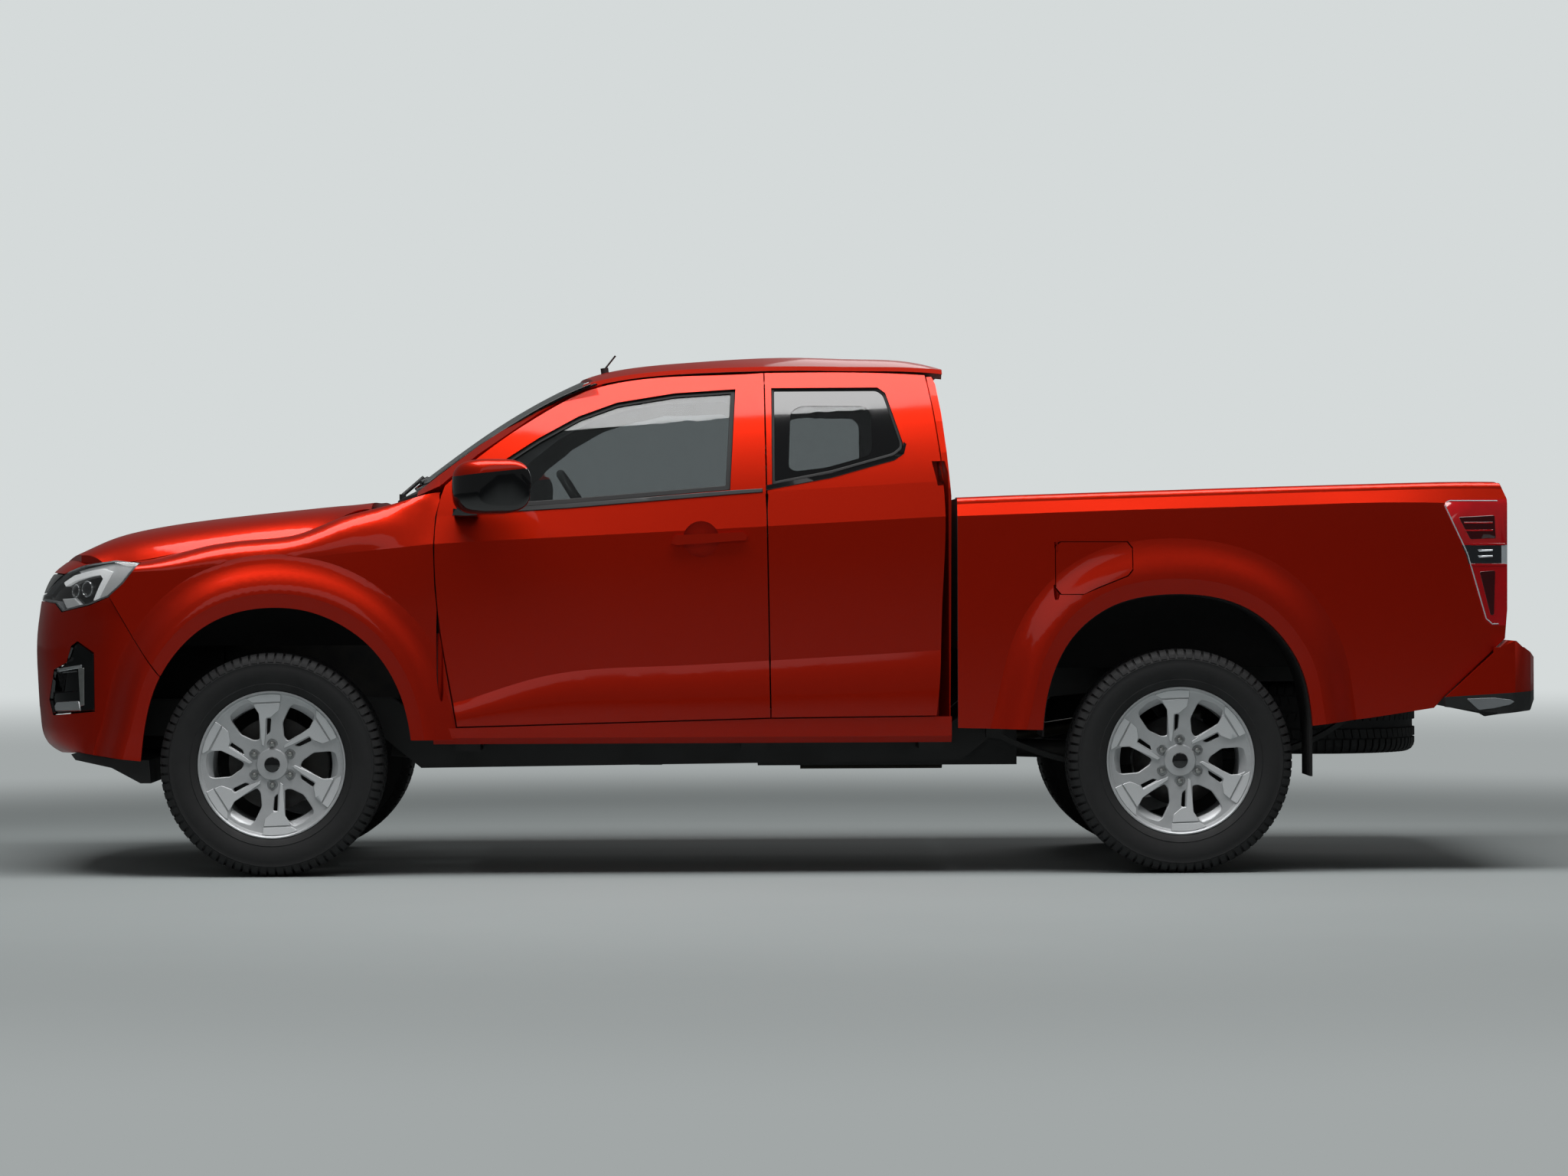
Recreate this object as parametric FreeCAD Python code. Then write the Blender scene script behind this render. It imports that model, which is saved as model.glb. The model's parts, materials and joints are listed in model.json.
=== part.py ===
import FreeCAD, Part
import math
import os
from FreeCAD import Vector as V

# A two-row pickup with a long load bed, built in millimetres.
# The nose points to -X, the tail to +X, up is +Z, and the steering-wheel side is -Y.
# The ground is z = 0 and the middle of the whole vehicle is x = 0, y = 0.

os.makedirs("parts", exist_ok=True)

# Driving dimensions, in millimetres
NOSE_X = -2640
TAIL_X = 2640
FRONT_AXLE_X = -1735
REAR_AXLE_X = 1390
AXLE_Z = 385
WHEEL_Y = 785
TYRE_R = 385
TYRE_W = 265
RIM_R = 252
BEAD_R = 232
HUB_R = 84
TOW_X = 2280
TOW_SPACING = 120
TOW_Z = 700
TOW_HOLE_R = 7
BOLT_CIRCLE_R = 70
BODY_Y = 914
FLARE_Y = 935
PANEL_GAP = 5
DOOR_IN_Y = 812
FOLD_IN = 23
LOW_EDGE_Z = 480
DOOR_FRAME_T = 32
PILLAR_GAP = 5
PILLAR_T = 42
ROCKER_Z = 452
RAIL_Y = 390
RAIL_W = 76
FLOOR_Z = 545
FLOOR_T = 25
BED_FRONT_X = 626
BED_WALL_IN_Y = 742
BED_FLOOR_Z = 800
BED_FLOOR_T = 30
TAILGATE_X0 = 2452
TAILGATE_X1 = 2520
TAILGATE_HALF_Y = 742
TAILGATE_BOTTOM_Z = 806
GATE_PIN_R = 8
GLASS_T = 5
ROOF_T = 30
HOOD_T = 26
SKIN_T = 24
FLARE_FLAT = 1.09
FLARE_FADE = 1.34
KING_PIN_Y = 700
STEER_CENTRE = V(-661, -370, 1245)
STEER_TILT = 33
STEER_WHEEL_R = 188


def lerp(table, x):
    """Straight-line reading of a short table of (position, value) pairs."""
    if x <= table[0][0]:
        return table[0][1]
    for (a, va), (b, vb) in zip(table, table[1:]):
        if x <= b:
            return va + (vb - va) * (x - a) / (b - a)
    return table[-1][1]


def edge(pts):
    pts = [V(*p) if isinstance(p, tuple) else p for p in pts]
    if len(pts) == 2:
        return Part.LineSegment(pts[0], pts[1]).toShape()
    curve = Part.BSplineCurve()
    curve.interpolate(pts)
    return curve.toShape()


def wire(runs):
    return Part.Wire([edge(r) for r in runs])


def side_face(runs, y=0.0):
    """A face in the side view from runs of (x, z) points: two points make a line, more a curve."""
    return Part.Face(wire([[V(x, y, z) for x, z in r] for r in runs]))


def side_poly(pts, y=0.0):
    pts = [V(x, y, z) for x, z in pts]
    return Part.Face(Part.makePolygon(pts + [pts[0]]))


def prism_side(pts, y0, y1):
    return side_poly(pts, y0).extrude(V(0, y1 - y0, 0))


def prism_plan(pts, z0, z1):
    pts = [V(x, y, z0) for x, y in pts]
    return Part.Face(Part.makePolygon(pts + [pts[0]])).extrude(V(0, 0, z1 - z0))


def prism_front(pts, x0, x1):
    """A prism along X from (y, z) points."""
    pts = [V(x0, y, z) for y, z in pts]
    return Part.Face(Part.makePolygon(pts + [pts[0]])).extrude(V(x1 - x0, 0, 0))


def box(x0, x1, y0, y1, z0, z1):
    return Part.makeBox(x1 - x0, y1 - y0, z1 - z0, V(x0, y0, z0))


def rod(p, q, r):
    p = V(*p) if isinstance(p, tuple) else p
    q = V(*q) if isinstance(q, tuple) else q
    return Part.makeCylinder(r, (q - p).Length, p, q - p)


def tube_ring(p, axis, r_out, r_in, length):
    return Part.makeCylinder(r_out, length, p, axis).cut(Part.makeCylinder(r_in, length, p, axis))


def mirror_y(shape):
    return shape.mirror(V(0, 0, 0), V(0, 1, 0))


def both(shape):
    return Part.makeCompound([shape, mirror_y(shape)])


def fuse(shapes):
    first = shapes[0]
    if len(shapes) == 1:
        return first
    return first.fuse(shapes[1:]).removeSplitter()


def cut(shape, tools):
    for t in tools:
        shape = shape.cut(t)
    return shape


def biggest(shape):
    return max(shape.Solids, key=lambda s: s.Volume)


def loft(sections, ruled=False):
    return Part.makeLoft(sections, True, ruled)


def save(node, shape):
    solids = shape.Solids
    for s in solids:
        if not s.isValid() or s.Volume <= 0:
            print("CHECK", node, "solid not valid", round(s.Volume))
    out = solids[0] if len(solids) == 1 else Part.makeCompound(solids)
    out.exportStep("parts/" + node + ".step")
    b = out.BoundBox
    print("%-22s %d solids %8.1f cm3  x %.0f..%.0f y %.0f..%.0f z %.0f..%.0f" % (
        node, len(solids), out.Volume / 1000.0, b.XMin, b.XMax, b.YMin, b.YMax, b.ZMin, b.ZMax))


# Lines of the body, read as height or half width against x

CREASE_Z = [(-2520, 1030), (-2300, 1045), (-1950, 1065), (-1505, 1109), (-1165, 1143), (-34, 1197),
            (569, 1228), (1485, 1256), (2167, 1270), (2530, 1262)]
BELT_Z = [(-1200, 1232), (-1114, 1240), (-708, 1265), (-154, 1309), (610, 1352)]
DITCH_Z = [(-1200, 1311), (-1156, 1347), (-1027, 1456), (-822, 1598), (-686, 1679), (-549, 1715),
           (-345, 1736), (-34, 1746), (268, 1744), (507, 1738), (600, 1728)]
CENTRE_Z = [(-1330, 1313), (-1272, 1358), (-1130, 1464), (-989, 1562), (-847, 1647), (-734, 1708),
            (-621, 1750), (-422, 1782), (-139, 1803), (144, 1808), (427, 1799), (520, 1785), (600, 1755)]
FOLD_Z = [(-1250, 590), (-1059, 600), (-904, 668), (-677, 704), (-34, 735), (395, 758), (620, 772)]
DOOR_BOTTOM_Z = [(-1200, 510), (-1092, 513), (-27, 540), (610, 546)]
BED_TOP_Z = [(626, 1293), (917, 1304), (1485, 1320), (2053, 1336), (2408, 1341), (2520, 1338)]
HOOD_EDGE_Z = [(-2330, 1070), (-2171, 1089), (-1970, 1138), (-1793, 1161), (-1616, 1184), (-1568, 1198),
               (-1498, 1236), (-1380, 1268)]
HOOD_EDGE_Y = [(-2330, 735), (-2171, 772), (-1970, 792), (-1793, 800), (-1568, 803), (-1380, 798)]
HOOD_TOP_Z = [(-2560, 1052), (-2520, 1080), (-2451, 1112), (-2338, 1165), (-2219, 1196), (-2100, 1216),
              (-1862, 1245), (-1625, 1269), (-1380, 1292)]


def crease_z(x):
    return lerp(CREASE_Z, x)


def crease_y(x):
    return BODY_Y - 12.0 * ((x - 300.0) / 1400.0) ** 2


def belt_z(x):
    return lerp(BELT_Z, x)


def house_y(x, z):
    """Half width of the leaning upper cab side."""
    d = z - belt_z(x)
    return crease_y(x) - 38 - 0.36 * d - 0.00037 * d * d


def fold_z(x):
    return lerp(FOLD_Z, x)


def side_y(x, z):
    """Half width of the lower body side, below the belt."""
    yc = crease_y(x)
    zc = crease_z(x)
    zf = fold_z(x)
    if z >= zc:
        return yc - 38.0 * (z - zc) / (belt_z(x) - zc)
    if z >= zf:
        t = (z - zf) / (zc - zf)
        return yc - FOLD_IN * (1.0 - t) ** 1.3
    t = (z - LOW_EDGE_Z) / (zf - LOW_EDGE_Z)
    return yc - FOLD_IN + 44.0 * t * (1.0 - t) if t > 0 else yc - FOLD_IN + 30.0 * t


TOP_Z = 1790
FRACTIONS = (0.0, 0.33, 0.66, 1.0)


def cab_section(x, low_z, inset, inner_y, thick):
    """Closed outline of the cab side wall at x: outer skin moved in by inset, thickness thick above."""
    b = belt_z(x)
    zc = crease_z(x)

    def pt(h, z):
        return V(x, -h, z)

    zf = fold_z(x)
    low = [pt(side_y(x, z) - inset, z) for z in (low_z, low_z + (zf - low_z) * 0.35, low_z + (zf - low_z) * 0.7, zf)]
    mid = [pt(side_y(x, z) - inset, z) for z in (zf, zf + (zc - zf) * 0.33, zf + (zc - zf) * 0.66, zc)]
    upp = [mid[-1], pt(side_y(x, b) - inset, b)]
    heights = [b + t * (TOP_Z - b) for t in FRACTIONS]
    house = [pt(house_y(x, z) - inset, z) for z in heights]
    inner = [pt(house_y(x, z) - inset - thick, z) for z in reversed(heights)]
    return wire([low, mid, upp, house, [house[-1], inner[0]], inner, [inner[-1], pt(inner_y, b)],
                 [pt(inner_y, b), pt(inner_y, low_z)], [pt(inner_y, low_z), low[0]]])


CAB_STATIONS = (-1185, -1000, -800, -400, 0, 300, 480, 606)

# Side-view outlines of the doors, in (x, z)
DOOR_FRONT_EDGE = [(-1097, 513), (-1125, 673), (-1152, 834), (-1168, 994), (-1172, 1128), (-1166, 1235), (-1139, 1342)]
DOOR_TOP_FRONT = [(-1139, 1342), (-1024, 1442), (-820, 1584), (-684, 1662)]
DOOR_TOP = [(-684, 1662), (-549, 1700), (-345, 1722), (-37, 1733)]
SHUT_X_TOP = -37
SHUT_X_BOTTOM = -20
DOOR_BACK_EDGE = [(552, 545), (562, 638), (572, 906), (583, 1294), (568, 1449), (549, 1586), (524, 1722)]
HINGE_FRONT_X = -1156
HINGE_FRONT_Y = -886
HINGE_FRONT_Z = (1039, 1099)
HINGE_REAR_X = 548
HINGE_REAR_Y = -898
HINGE_REAR_Z = (1090, 1170)
HINGE_PIN_R = 3
RUN_GAP = 0.3

front_door_outline = side_face([
    DOOR_FRONT_EDGE, DOOR_TOP_FRONT, DOOR_TOP, [DOOR_TOP[-1], (SHUT_X_BOTTOM, 540)],
    [(SHUT_X_BOTTOM, 540), DOOR_FRONT_EDGE[0]]], -1200)
rear_door_outline = side_face([
    [(SHUT_X_BOTTOM + PANEL_GAP, 540), (SHUT_X_TOP + PANEL_GAP, 1733)],
    [(SHUT_X_TOP + PANEL_GAP, 1733), (150, 1734), (350, 1731), DOOR_BACK_EDGE[-1]],
    list(reversed(DOOR_BACK_EDGE)), [DOOR_BACK_EDGE[0], (SHUT_X_BOTTOM + PANEL_GAP, 540)]], -1200)

door_slab = loft([cab_section(x, 470, 0, DOOR_IN_Y, DOOR_FRAME_T) for x in CAB_STATIONS])
REACH = V(0, 900, 0)

# Windows in the doors
FRONT_WINDOW = [(-1090, 1256), (-708, 1279), (-154, 1323), (-134, 1677), (-344, 1664), (-546, 1632), (-681, 1583),
                (-817, 1508), (-925, 1438)]
REAR_WINDOW = [(-10, 1340), (197, 1380), (413, 1440), (440, 1462), (443, 1484), (386, 1660), (359, 1680), (-10, 1680)]


def window_prism(pts, y0=-1200, y1=-560):
    return prism_side(pts, y0, y1)


def chord_wedge(x_at, slope, side, z0, z1):
    """Wedge behind the shut line, leaning with the upper side, so that each door opens past the other."""
    y0 = -house_y(0, z0)
    y1 = -house_y(0, z1)
    x0 = x_at(z0)
    x1 = x_at(z1)
    reach = 130
    w0 = [V(x0, y0, z0), V(x0 + side * slope * reach, y0 + reach, z0), V(x0 - side * 30, y0 + reach, z0),
          V(x0 - side * 30, y0, z0)]
    w1 = [V(x1, y1, z1), V(x1 + side * slope * reach, y1 + reach, z1), V(x1 - side * 30, y1 + reach, z1),
          V(x1 - side * 30, y1, z1)]
    return loft([Part.makePolygon(w0 + [w0[0]]), Part.makePolygon(w1 + [w1[0]])], True)


def shut_x(z):
    return SHUT_X_BOTTOM + (SHUT_X_TOP - SHUT_X_BOTTOM) * (z - 540) / (1733 - 540)


def low_wedge(x_at, slope, side, z0, z1):
    y = -side_y(0, 900) + 6
    pts = []
    for z in (z0, z1):
        x = x_at(z)
        p = [V(x, y, z), V(x + side * slope * 130, y + 130, z), V(x - side * 30, y + 130, z), V(x - side * 30, y, z)]
        pts.append(Part.makePolygon(p + [p[0]]))
    return loft(pts, True)


def rear_shut_x(z):
    return shut_x(z) + PANEL_GAP


FRONT_WEDGES = [low_wedge(shut_x, 0.12, -1, 400, 1309), chord_wedge(shut_x, 0.30, -1, 1309, 1520),
                chord_wedge(shut_x, 0.30, -1, 1520, 1800)]
REAR_WEDGES = [low_wedge(rear_shut_x, 0.20, 1, 400, 1309), chord_wedge(rear_shut_x, 0.52, 1, 1309, 1520),
               chord_wedge(rear_shut_x, 0.52, 1, 1520, 1800)]


def hinge_leaves(x, y, heights):
    """Fixed leaves and pin of a door hinge, standing on the body frame."""
    parts = [rod((x, y, heights[0] - 27), (x, y, heights[-1] + 27), HINGE_PIN_R)]
    for z in heights:
        parts.append(box(x - 5, x + 5, y, -DOOR_IN_Y + PILLAR_GAP + 6, z - 5, z + 5))
        parts.append(rod((x, y, z - 5), (x, y, z + 5), 5))
    return parts


def hinge_room(x, y, heights, side):
    """Room in the door round the leaves, open towards the shut line, and the bore for the pin."""
    tools = [rod((x, y, heights[0] - 30), (x, y, heights[-1] + 30), HINGE_PIN_R + RUN_GAP)]
    x0, x1 = sorted((x - side * 12, x + side * 60))
    for z in heights:
        tools.append(box(x0, x1, y - 7, -DOOR_IN_Y + 12, z - 11, z + 11))
    return tools


def front_door():
    d = biggest(door_slab.common(front_door_outline.extrude(REACH)))
    # hollow for the glass and the arm rest side
    d = cut(d, FRONT_WEDGES + hinge_room(HINGE_FRONT_X, HINGE_FRONT_Y, HINGE_FRONT_Z, -1))
    d = cut(d, [window_prism(FRONT_WINDOW)])
    pocket = prism_side([(-1060, 620), (-140, 640), (-140, 1120), (-1060, 1090)], -DOOR_IN_Y - 26, -DOOR_IN_Y + 10)
    d = cut(d, [pocket])
    # recess behind the pull handle, and the bar across it
    cup = Part.makeCylinder(62, 30, V(-255, -BODY_Y - 10, 1154), V(0, 1, 0))
    d = cut(d, [cup])
    bar = prism_side([(-358, 1140), (-345, 1168), (-110, 1178), (-96, 1166), (-100, 1150), (-340, 1134)],
                     -BODY_Y - 16, -BODY_Y + 4)
    posts = [box(-352, -320, -BODY_Y - 8, -BODY_Y + 30, 1142, 1160), box(-140, -108, -BODY_Y - 8, -BODY_Y + 30, 1152, 1170)]
    return fuse([biggest(d), bar] + posts)


def rear_door():
    d = biggest(door_slab.common(rear_door_outline.extrude(REACH)))
    d = cut(d, REAR_WEDGES + hinge_room(HINGE_REAR_X, HINGE_REAR_Y, HINGE_REAR_Z, 1))
    d = cut(d, [window_prism(REAR_WINDOW)])
    # the inner back corner is cut away so that it clears the pillar as the door swings
    d = cut(d, [prism_plan([(500, -780), (560, -880), (640, -880), (640, -780)], 400, 1420)])
    d = cut(d, [prism_side([(40, 640), (490, 645), (490, 1130), (40, 1120)], -DOOR_IN_Y - 26, -DOOR_IN_Y + 10)])
    return biggest(d)


def pane(outline, grow, inset, thick):
    """A sheet that follows the leaning side, for the window glass."""
    cx = sum(p[0] for p in outline) / len(outline)
    cz = sum(p[1] for p in outline) / len(outline)
    pts = []
    for x, z in outline:
        d = math.hypot(x - cx, z - cz)
        pts.append((x + (x - cx) / d * grow, z + (z - cz) / d * grow))
    sheet = loft([house_band(x, inset, thick) for x in CAB_STATIONS])
    return sheet.common(prism_side(pts, -1200, -560))


def house_band(x, inset, thick):
    b = belt_z(x) - 90
    heights = [b + t * (TOP_Z - b) for t in FRACTIONS]
    out = [V(x, -(house_y(x, z) - inset), z) for z in heights]
    inn = [V(x, -(house_y(x, z) - inset - thick), z) for z in reversed(heights)]
    return wire([out, [out[-1], inn[0]], inn, [inn[-1], out[0]]])


left_front_door = front_door()
left_rear_door = rear_door()
left_front_glass = biggest(pane(FRONT_WINDOW, 14, 14, GLASS_T))
left_rear_glass = biggest(pane(REAR_WINDOW, 14, 14, GLASS_T))
left_front_door = biggest(cut(left_front_door, [left_front_glass]))
left_rear_door = biggest(cut(left_rear_door, [left_rear_glass]))

save("door_front_left", left_front_door)
save("door_front_right", mirror_y(left_front_door))
save("door_rear_left", left_rear_door)
save("door_rear_right", mirror_y(left_rear_door))
save("glass_front_left", left_front_glass)
save("glass_front_right", mirror_y(left_front_glass))
save("glass_rear_left", left_rear_glass)
save("glass_rear_right", mirror_y(left_rear_glass))

# Door mirrors: a rounded housing on a short arm at the front corner of the window
MIRROR = [(-912, -1092, -990, 1278, 1372), (-930, -1106, -950, 1254, 1404), (-965, -1106, -905, 1244, 1422),
          (-1005, -1088, -862, 1242, 1430), (-1038, -1050, -836, 1250, 1426), (-1056, -1010, -836, 1272, 1408)]


def mirror_ring(y, x0, x1, z0, z1):
    """Rounded oblong outline of the mirror housing at one distance from the middle of the vehicle."""
    cx = (x0 + x1) / 2.0
    cz = (z0 + z1) / 2.0
    hx = (x1 - x0) / 2.0
    hz = (z1 - z0) / 2.0
    pts = []
    for i in range(16):
        a = 2 * math.pi * i / 16
        c = math.cos(a)
        d = math.sin(a)
        pts.append(V(cx + hx * math.copysign(abs(c) ** 0.55, c), y, cz + hz * math.copysign(abs(d) ** 0.6, d)))
    curve = Part.BSplineCurve()
    curve.interpolate(Points=pts, PeriodicFlag=True)
    return Part.Wire([curve.toShape()])


mirror_body = loft([mirror_ring(*m) for m in MIRROR])
mirror_arm = prism_front([(-846, 1228), (-960, 1240), (-960, 1262), (-846, 1252)], -1104, -1022)
mirror_left = fuse([mirror_body, mirror_arm])
mirror_left = cut(mirror_left, [left_front_door, left_front_glass])
mirror_left = biggest(mirror_left)
save("mirror_left", mirror_left)
save("mirror_right", mirror_y(mirror_left))

# Cab shell: side frames behind the doors, rocker panels below them


def frame_section(x):
    """Closed outline of the body frame just inside the doors."""
    b = belt_z(x)
    out_y = DOOR_IN_Y - PILLAR_GAP
    in_y = out_y - PILLAR_T
    z_turn = b + 95
    heights = [z_turn + t * (TOP_Z - z_turn) for t in FRACTIONS]

    def lean(z):
        return min(house_y(x, z) - DOOR_FRAME_T - PILLAR_GAP, out_y)

    out = [V(x, -lean(z), z) for z in heights]
    inn = [V(x, -(lean(z) - PILLAR_T), z) for z in reversed(heights)]
    base = V(x, -out_y, 520)
    base_in = V(x, -in_y, 520)
    return wire([[base, out[0]], out, [out[-1], inn[0]], inn, [inn[-1], base_in], [base_in, base]])


frame_slab = loft([frame_section(x) for x in (-1230,) + CAB_STATIONS[1:]])
frame_side = prism_side([(-1230, 520), (604, 520), (604, 1299), (592, 1449), (576, 1586), (556, 1690), (520, 1722),
                         (400, 1737), (-34, 1739), (-345, 1729), (-549, 1708), (-686, 1672), (-822, 1591),
                         (-1027, 1449), (-1156, 1340), (-1230, 1290)], -1000, -500)
door_hole = prism_side([(-1105, 566), (520, 566), (535, 906), (540, 1290), (522, 1449), (500, 1586), (478, 1680),
                        (300, 1694), (-34, 1694), (-345, 1684), (-540, 1662), (-670, 1628), (-800, 1552),
                        (-1000, 1410), (-1105, 1320)], -1000, -500)
side_frame = biggest(frame_slab.common(frame_side).cut(door_hole))

rocker_sections = []
for x in (-1180, -1092, -27, 604):
    top = lerp(DOOR_BOTTOM_Z, x) - PANEL_GAP
    rocker_sections.append(Part.makePolygon([
        V(x, -866, ROCKER_Z), V(x, -890, ROCKER_Z + 22), V(x, -893, top), V(x, -DOOR_IN_Y + PILLAR_GAP, top),
        V(x, -DOOR_IN_Y + PILLAR_GAP, 566), V(x, -745, 566), V(x, -745, ROCKER_Z), V(x, -866, ROCKER_Z)]))
rocker = loft(rocker_sections, True)
left_frame = fuse([side_frame, rocker])

# Front pillar beside the windscreen, from the cowl to the roof
SCREEN_EDGE_Y = [(-1235, 768), (-1100, 732), (-1000, 702), (-820, 655), (-640, 604)]


def screen_z(x, y):
    return lerp(CENTRE_Z, x) - 0.00011 * y * y


def pillar_section(x):
    zd = lerp(DITCH_Z, x) - 4
    yd = house_y(x, zd)
    yw = lerp(SCREEN_EDGE_Y, x)
    zw = screen_z(x, yw) + 3
    return Part.makePolygon([V(x, -yd, zd), V(x, -yw, zw), V(x, -(yw - 26), zw - 4), V(x, -(yw - 30), zw - 44),
                             V(x, -(yd - 40), zd - 42), V(x, -yd, zd)])


def roof_section(x):
    zd = lerp(DITCH_Z, x) - 4
    yd = house_y(x, zd)
    zc = lerp(CENTRE_Z, x)
    out = [V(x, -(yd - 26), zd + 16), V(x, -480, zc - (zc - zd - 16) * 0.42), V(x, -240, zc - (zc - zd - 16) * 0.1), V(x, 0, zc)]
    out = out + [V(x, -p.y, p.z) for p in reversed(out[:-1])]
    inn = [V(x, -(yd - 64), zd - 16), V(x, -480, zc - (zc - zd - 16) * 0.42 - ROOF_T), V(x, -240, zc - (zc - zd - 16) * 0.1 - ROOF_T),
           V(x, 0, zc - ROOF_T)]
    inn = inn + [V(x, -p.y, p.z) for p in reversed(inn[:-1])]
    inn = list(reversed(inn))
    lip = V(x, -(yd - 42), zd - 0.5)
    lip_r = V(x, yd - 42, zd - 0.5)
    return wire([[V(x, -yd, zd), out[0]], out, [out[-1], V(x, yd, zd)], [V(x, yd, zd), lip_r], [lip_r, inn[0]], inn, [inn[-1], lip],
                 [lip, V(x, -yd, zd)]])


roof = loft([roof_section(x) for x in (-700, -622, -422, -139, 144, 360, 480, 545, 585)])
front_trim = prism_plan([(-900, -900)] + [(-694 + 0.00017 * y * y, y) for y in range(-600, 601, 100)] + [(-900, 900)], 1500, 1900)
roof = biggest(roof.cut(front_trim))

a_pillar = loft([pillar_section(x) for x in (-1235, -1156, -1027, -822, -686, -600)], True)

# Windscreen: a thin curved sheet


def screen_slice(y):
    x0 = -1292 + 0.00019 * y * y
    x1 = -698 + 0.00017 * y * y
    xs = [x0 + (x1 - x0) * t for t in (0, 0.25, 0.5, 0.75, 1)]
    out = [V(x, y, screen_z(x, y)) for x in xs]
    inn = [V(x + 3.4, y, screen_z(x, y) - GLASS_T) for x in reversed(xs)]
    return wire([out, [out[-1], inn[0]], inn, [inn[-1], out[0]]])


SCREEN_Y = (-690, -600, -400, -200, 0, 200, 400, 600, 690)
windscreen = loft([screen_slice(y) for y in SCREEN_Y])
a_pillar = biggest(cut(a_pillar, [left_front_door]))

# Back wall of the cab with its window
BACK_LINE = [(600, 520), (604, 900), (607, 1299), (594, 1449), (578, 1586), (560, 1690), (548, 1716)]
back_outline = BACK_LINE + [(x - 36, z) for x, z in reversed(BACK_LINE)]
back_wall = prism_side(back_outline, -880, 880)
cab_fill = []
for x in (480, 560, 612):
    pts = [(-745, 520), (-880, 520)] + [(-(side_y(x, z) - 4), z) for z in (700, 1020)] + [(-(side_y(x, crease_z(x)) - 4), crease_z(x))]
    pts += [(-(house_y(x, z) - 3), z) for z in (belt_z(x), 1450, 1560, 1650, 1716)]
    pts = pts + [(-y, z) for y, z in reversed(pts)]
    cab_fill.append(Part.makePolygon([V(x, y, z) for y, z in pts] + [V(x, pts[0][0], pts[0][1])]))
back_wall = back_wall.common(loft(cab_fill, True))
BACK_GLASS = [(-560, 1345), (560, 1345), (520, 1640), (-520, 1640)]
back_hole = prism_front(BACK_GLASS, 480, 700)
back_wall = back_wall.cut(back_hole)
grown = [(y * 1.035, z + (18 if z > 1500 else -18)) for y, z in BACK_GLASS]
back_glass = prism_side([(x - 8, z) for x, z in BACK_LINE] + [(x - 8 - GLASS_T, z) for x, z in reversed(BACK_LINE)], -700, 700)
back_glass = back_glass.common(prism_front(grown, 480, 700))
door_clear = prism_plan([(480, -1000), (597, -1000), (597, -862), (560, -806), (480, -806)], 400, 1420)
back_wall = cut(back_wall, [back_glass, door_clear, mirror_y(door_clear)])
rear_gap_tool = prism_side([(x + 5, z) for x, z in DOOR_BACK_EDGE[3:]] + [(300, 1724), (300, 1290)], -1000, -500)
thick_door_region = loft([cab_section(x, 470, -10, DOOR_IN_Y - 3, DOOR_FRAME_T + 13) for x in (480, 612)])
rear_gap_tool = rear_gap_tool.common(thick_door_region)
back_wall = cut(back_wall, [rear_gap_tool, mirror_y(rear_gap_tool)])
back_wall = biggest(back_wall)

# Cowl and fire wall
firewall = prism_side([(-1190, 520), (-1165, 520), (-1165, 1230), (-1175, 1300), (-1330, 1262), (-1330, 1232), (-1190, 1215)],
                      -805, 805)
cowl_top = []
for y in (-742, -400, 0, 400, 742):
    xb = -1292 + 0.00019 * y * y
    zb = screen_z(xb, y)
    cowl_top.append(Part.makePolygon([V(xb - 60, y, zb - 46), V(xb + 40, y, zb + 5), V(xb + 40, y, zb - 70), V(xb - 60, y, zb - 70),
                                      V(xb - 60, y, zb - 46)]))
HOOD_HINGE_X = -1400
HOOD_HINGE_Y = 700
HOOD_HINGE_Z = 1266
hood_lugs = []
for s in (-1, 1):
    y = s * HOOD_HINGE_Y
    hood_lugs.append(prism_side([(HOOD_HINGE_X - 6, HOOD_HINGE_Z - 5), (HOOD_HINGE_X - 6, HOOD_HINGE_Z + 5), (HOOD_HINGE_X + 4, HOOD_HINGE_Z + 5),
                                 (-1326, 1258), (-1326, 1234), (HOOD_HINGE_X + 4, HOOD_HINGE_Z - 12)], y - 4, y + 4))
    hood_lugs.append(rod((HOOD_HINGE_X, y - 16, HOOD_HINGE_Z), (HOOD_HINGE_X, y + 16, HOOD_HINGE_Z), 3.5))
cowl = fuse([firewall, loft(cowl_top, False)] + hood_lugs)
cowl = cut(cowl, [windscreen])

left_frame = fuse([left_frame, a_pillar] + hinge_leaves(HINGE_FRONT_X, HINGE_FRONT_Y, HINGE_FRONT_Z) +
                  hinge_leaves(HINGE_REAR_X, HINGE_REAR_Y, HINGE_REAR_Z))
cab_frame = fuse([left_frame, mirror_y(left_frame), roof, back_wall])
cab_frame = cut(cab_frame, [windscreen, cowl])
cab_frame = biggest(cab_frame)
save("cab_frame", cab_frame)
save("cowl", cowl)
save("windscreen", windscreen)
save("rear_window", back_glass)

# Cab floor
floor = box(-1165, 568, -745, 745, FLOOR_Z - FLOOR_T, FLOOR_Z)
tunnel = prism_front([(-150, FLOOR_Z), (-110, FLOOR_Z + 120), (110, FLOOR_Z + 120), (150, FLOOR_Z)], -1165, 140)
tunnel_hole = prism_front([(-130, FLOOR_Z - 30), (-130, FLOOR_Z), (-98, FLOOR_Z + 100), (98, FLOOR_Z + 100), (130, FLOOR_Z), (130, FLOOR_Z - 30)],
                          -1170, 180)
cab_floor = fuse([floor, tunnel]).cut(tunnel_hole)
cab_floor = biggest(cut(cab_floor, [cab_frame, cowl]))
save("cab_floor", cab_floor)

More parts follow.
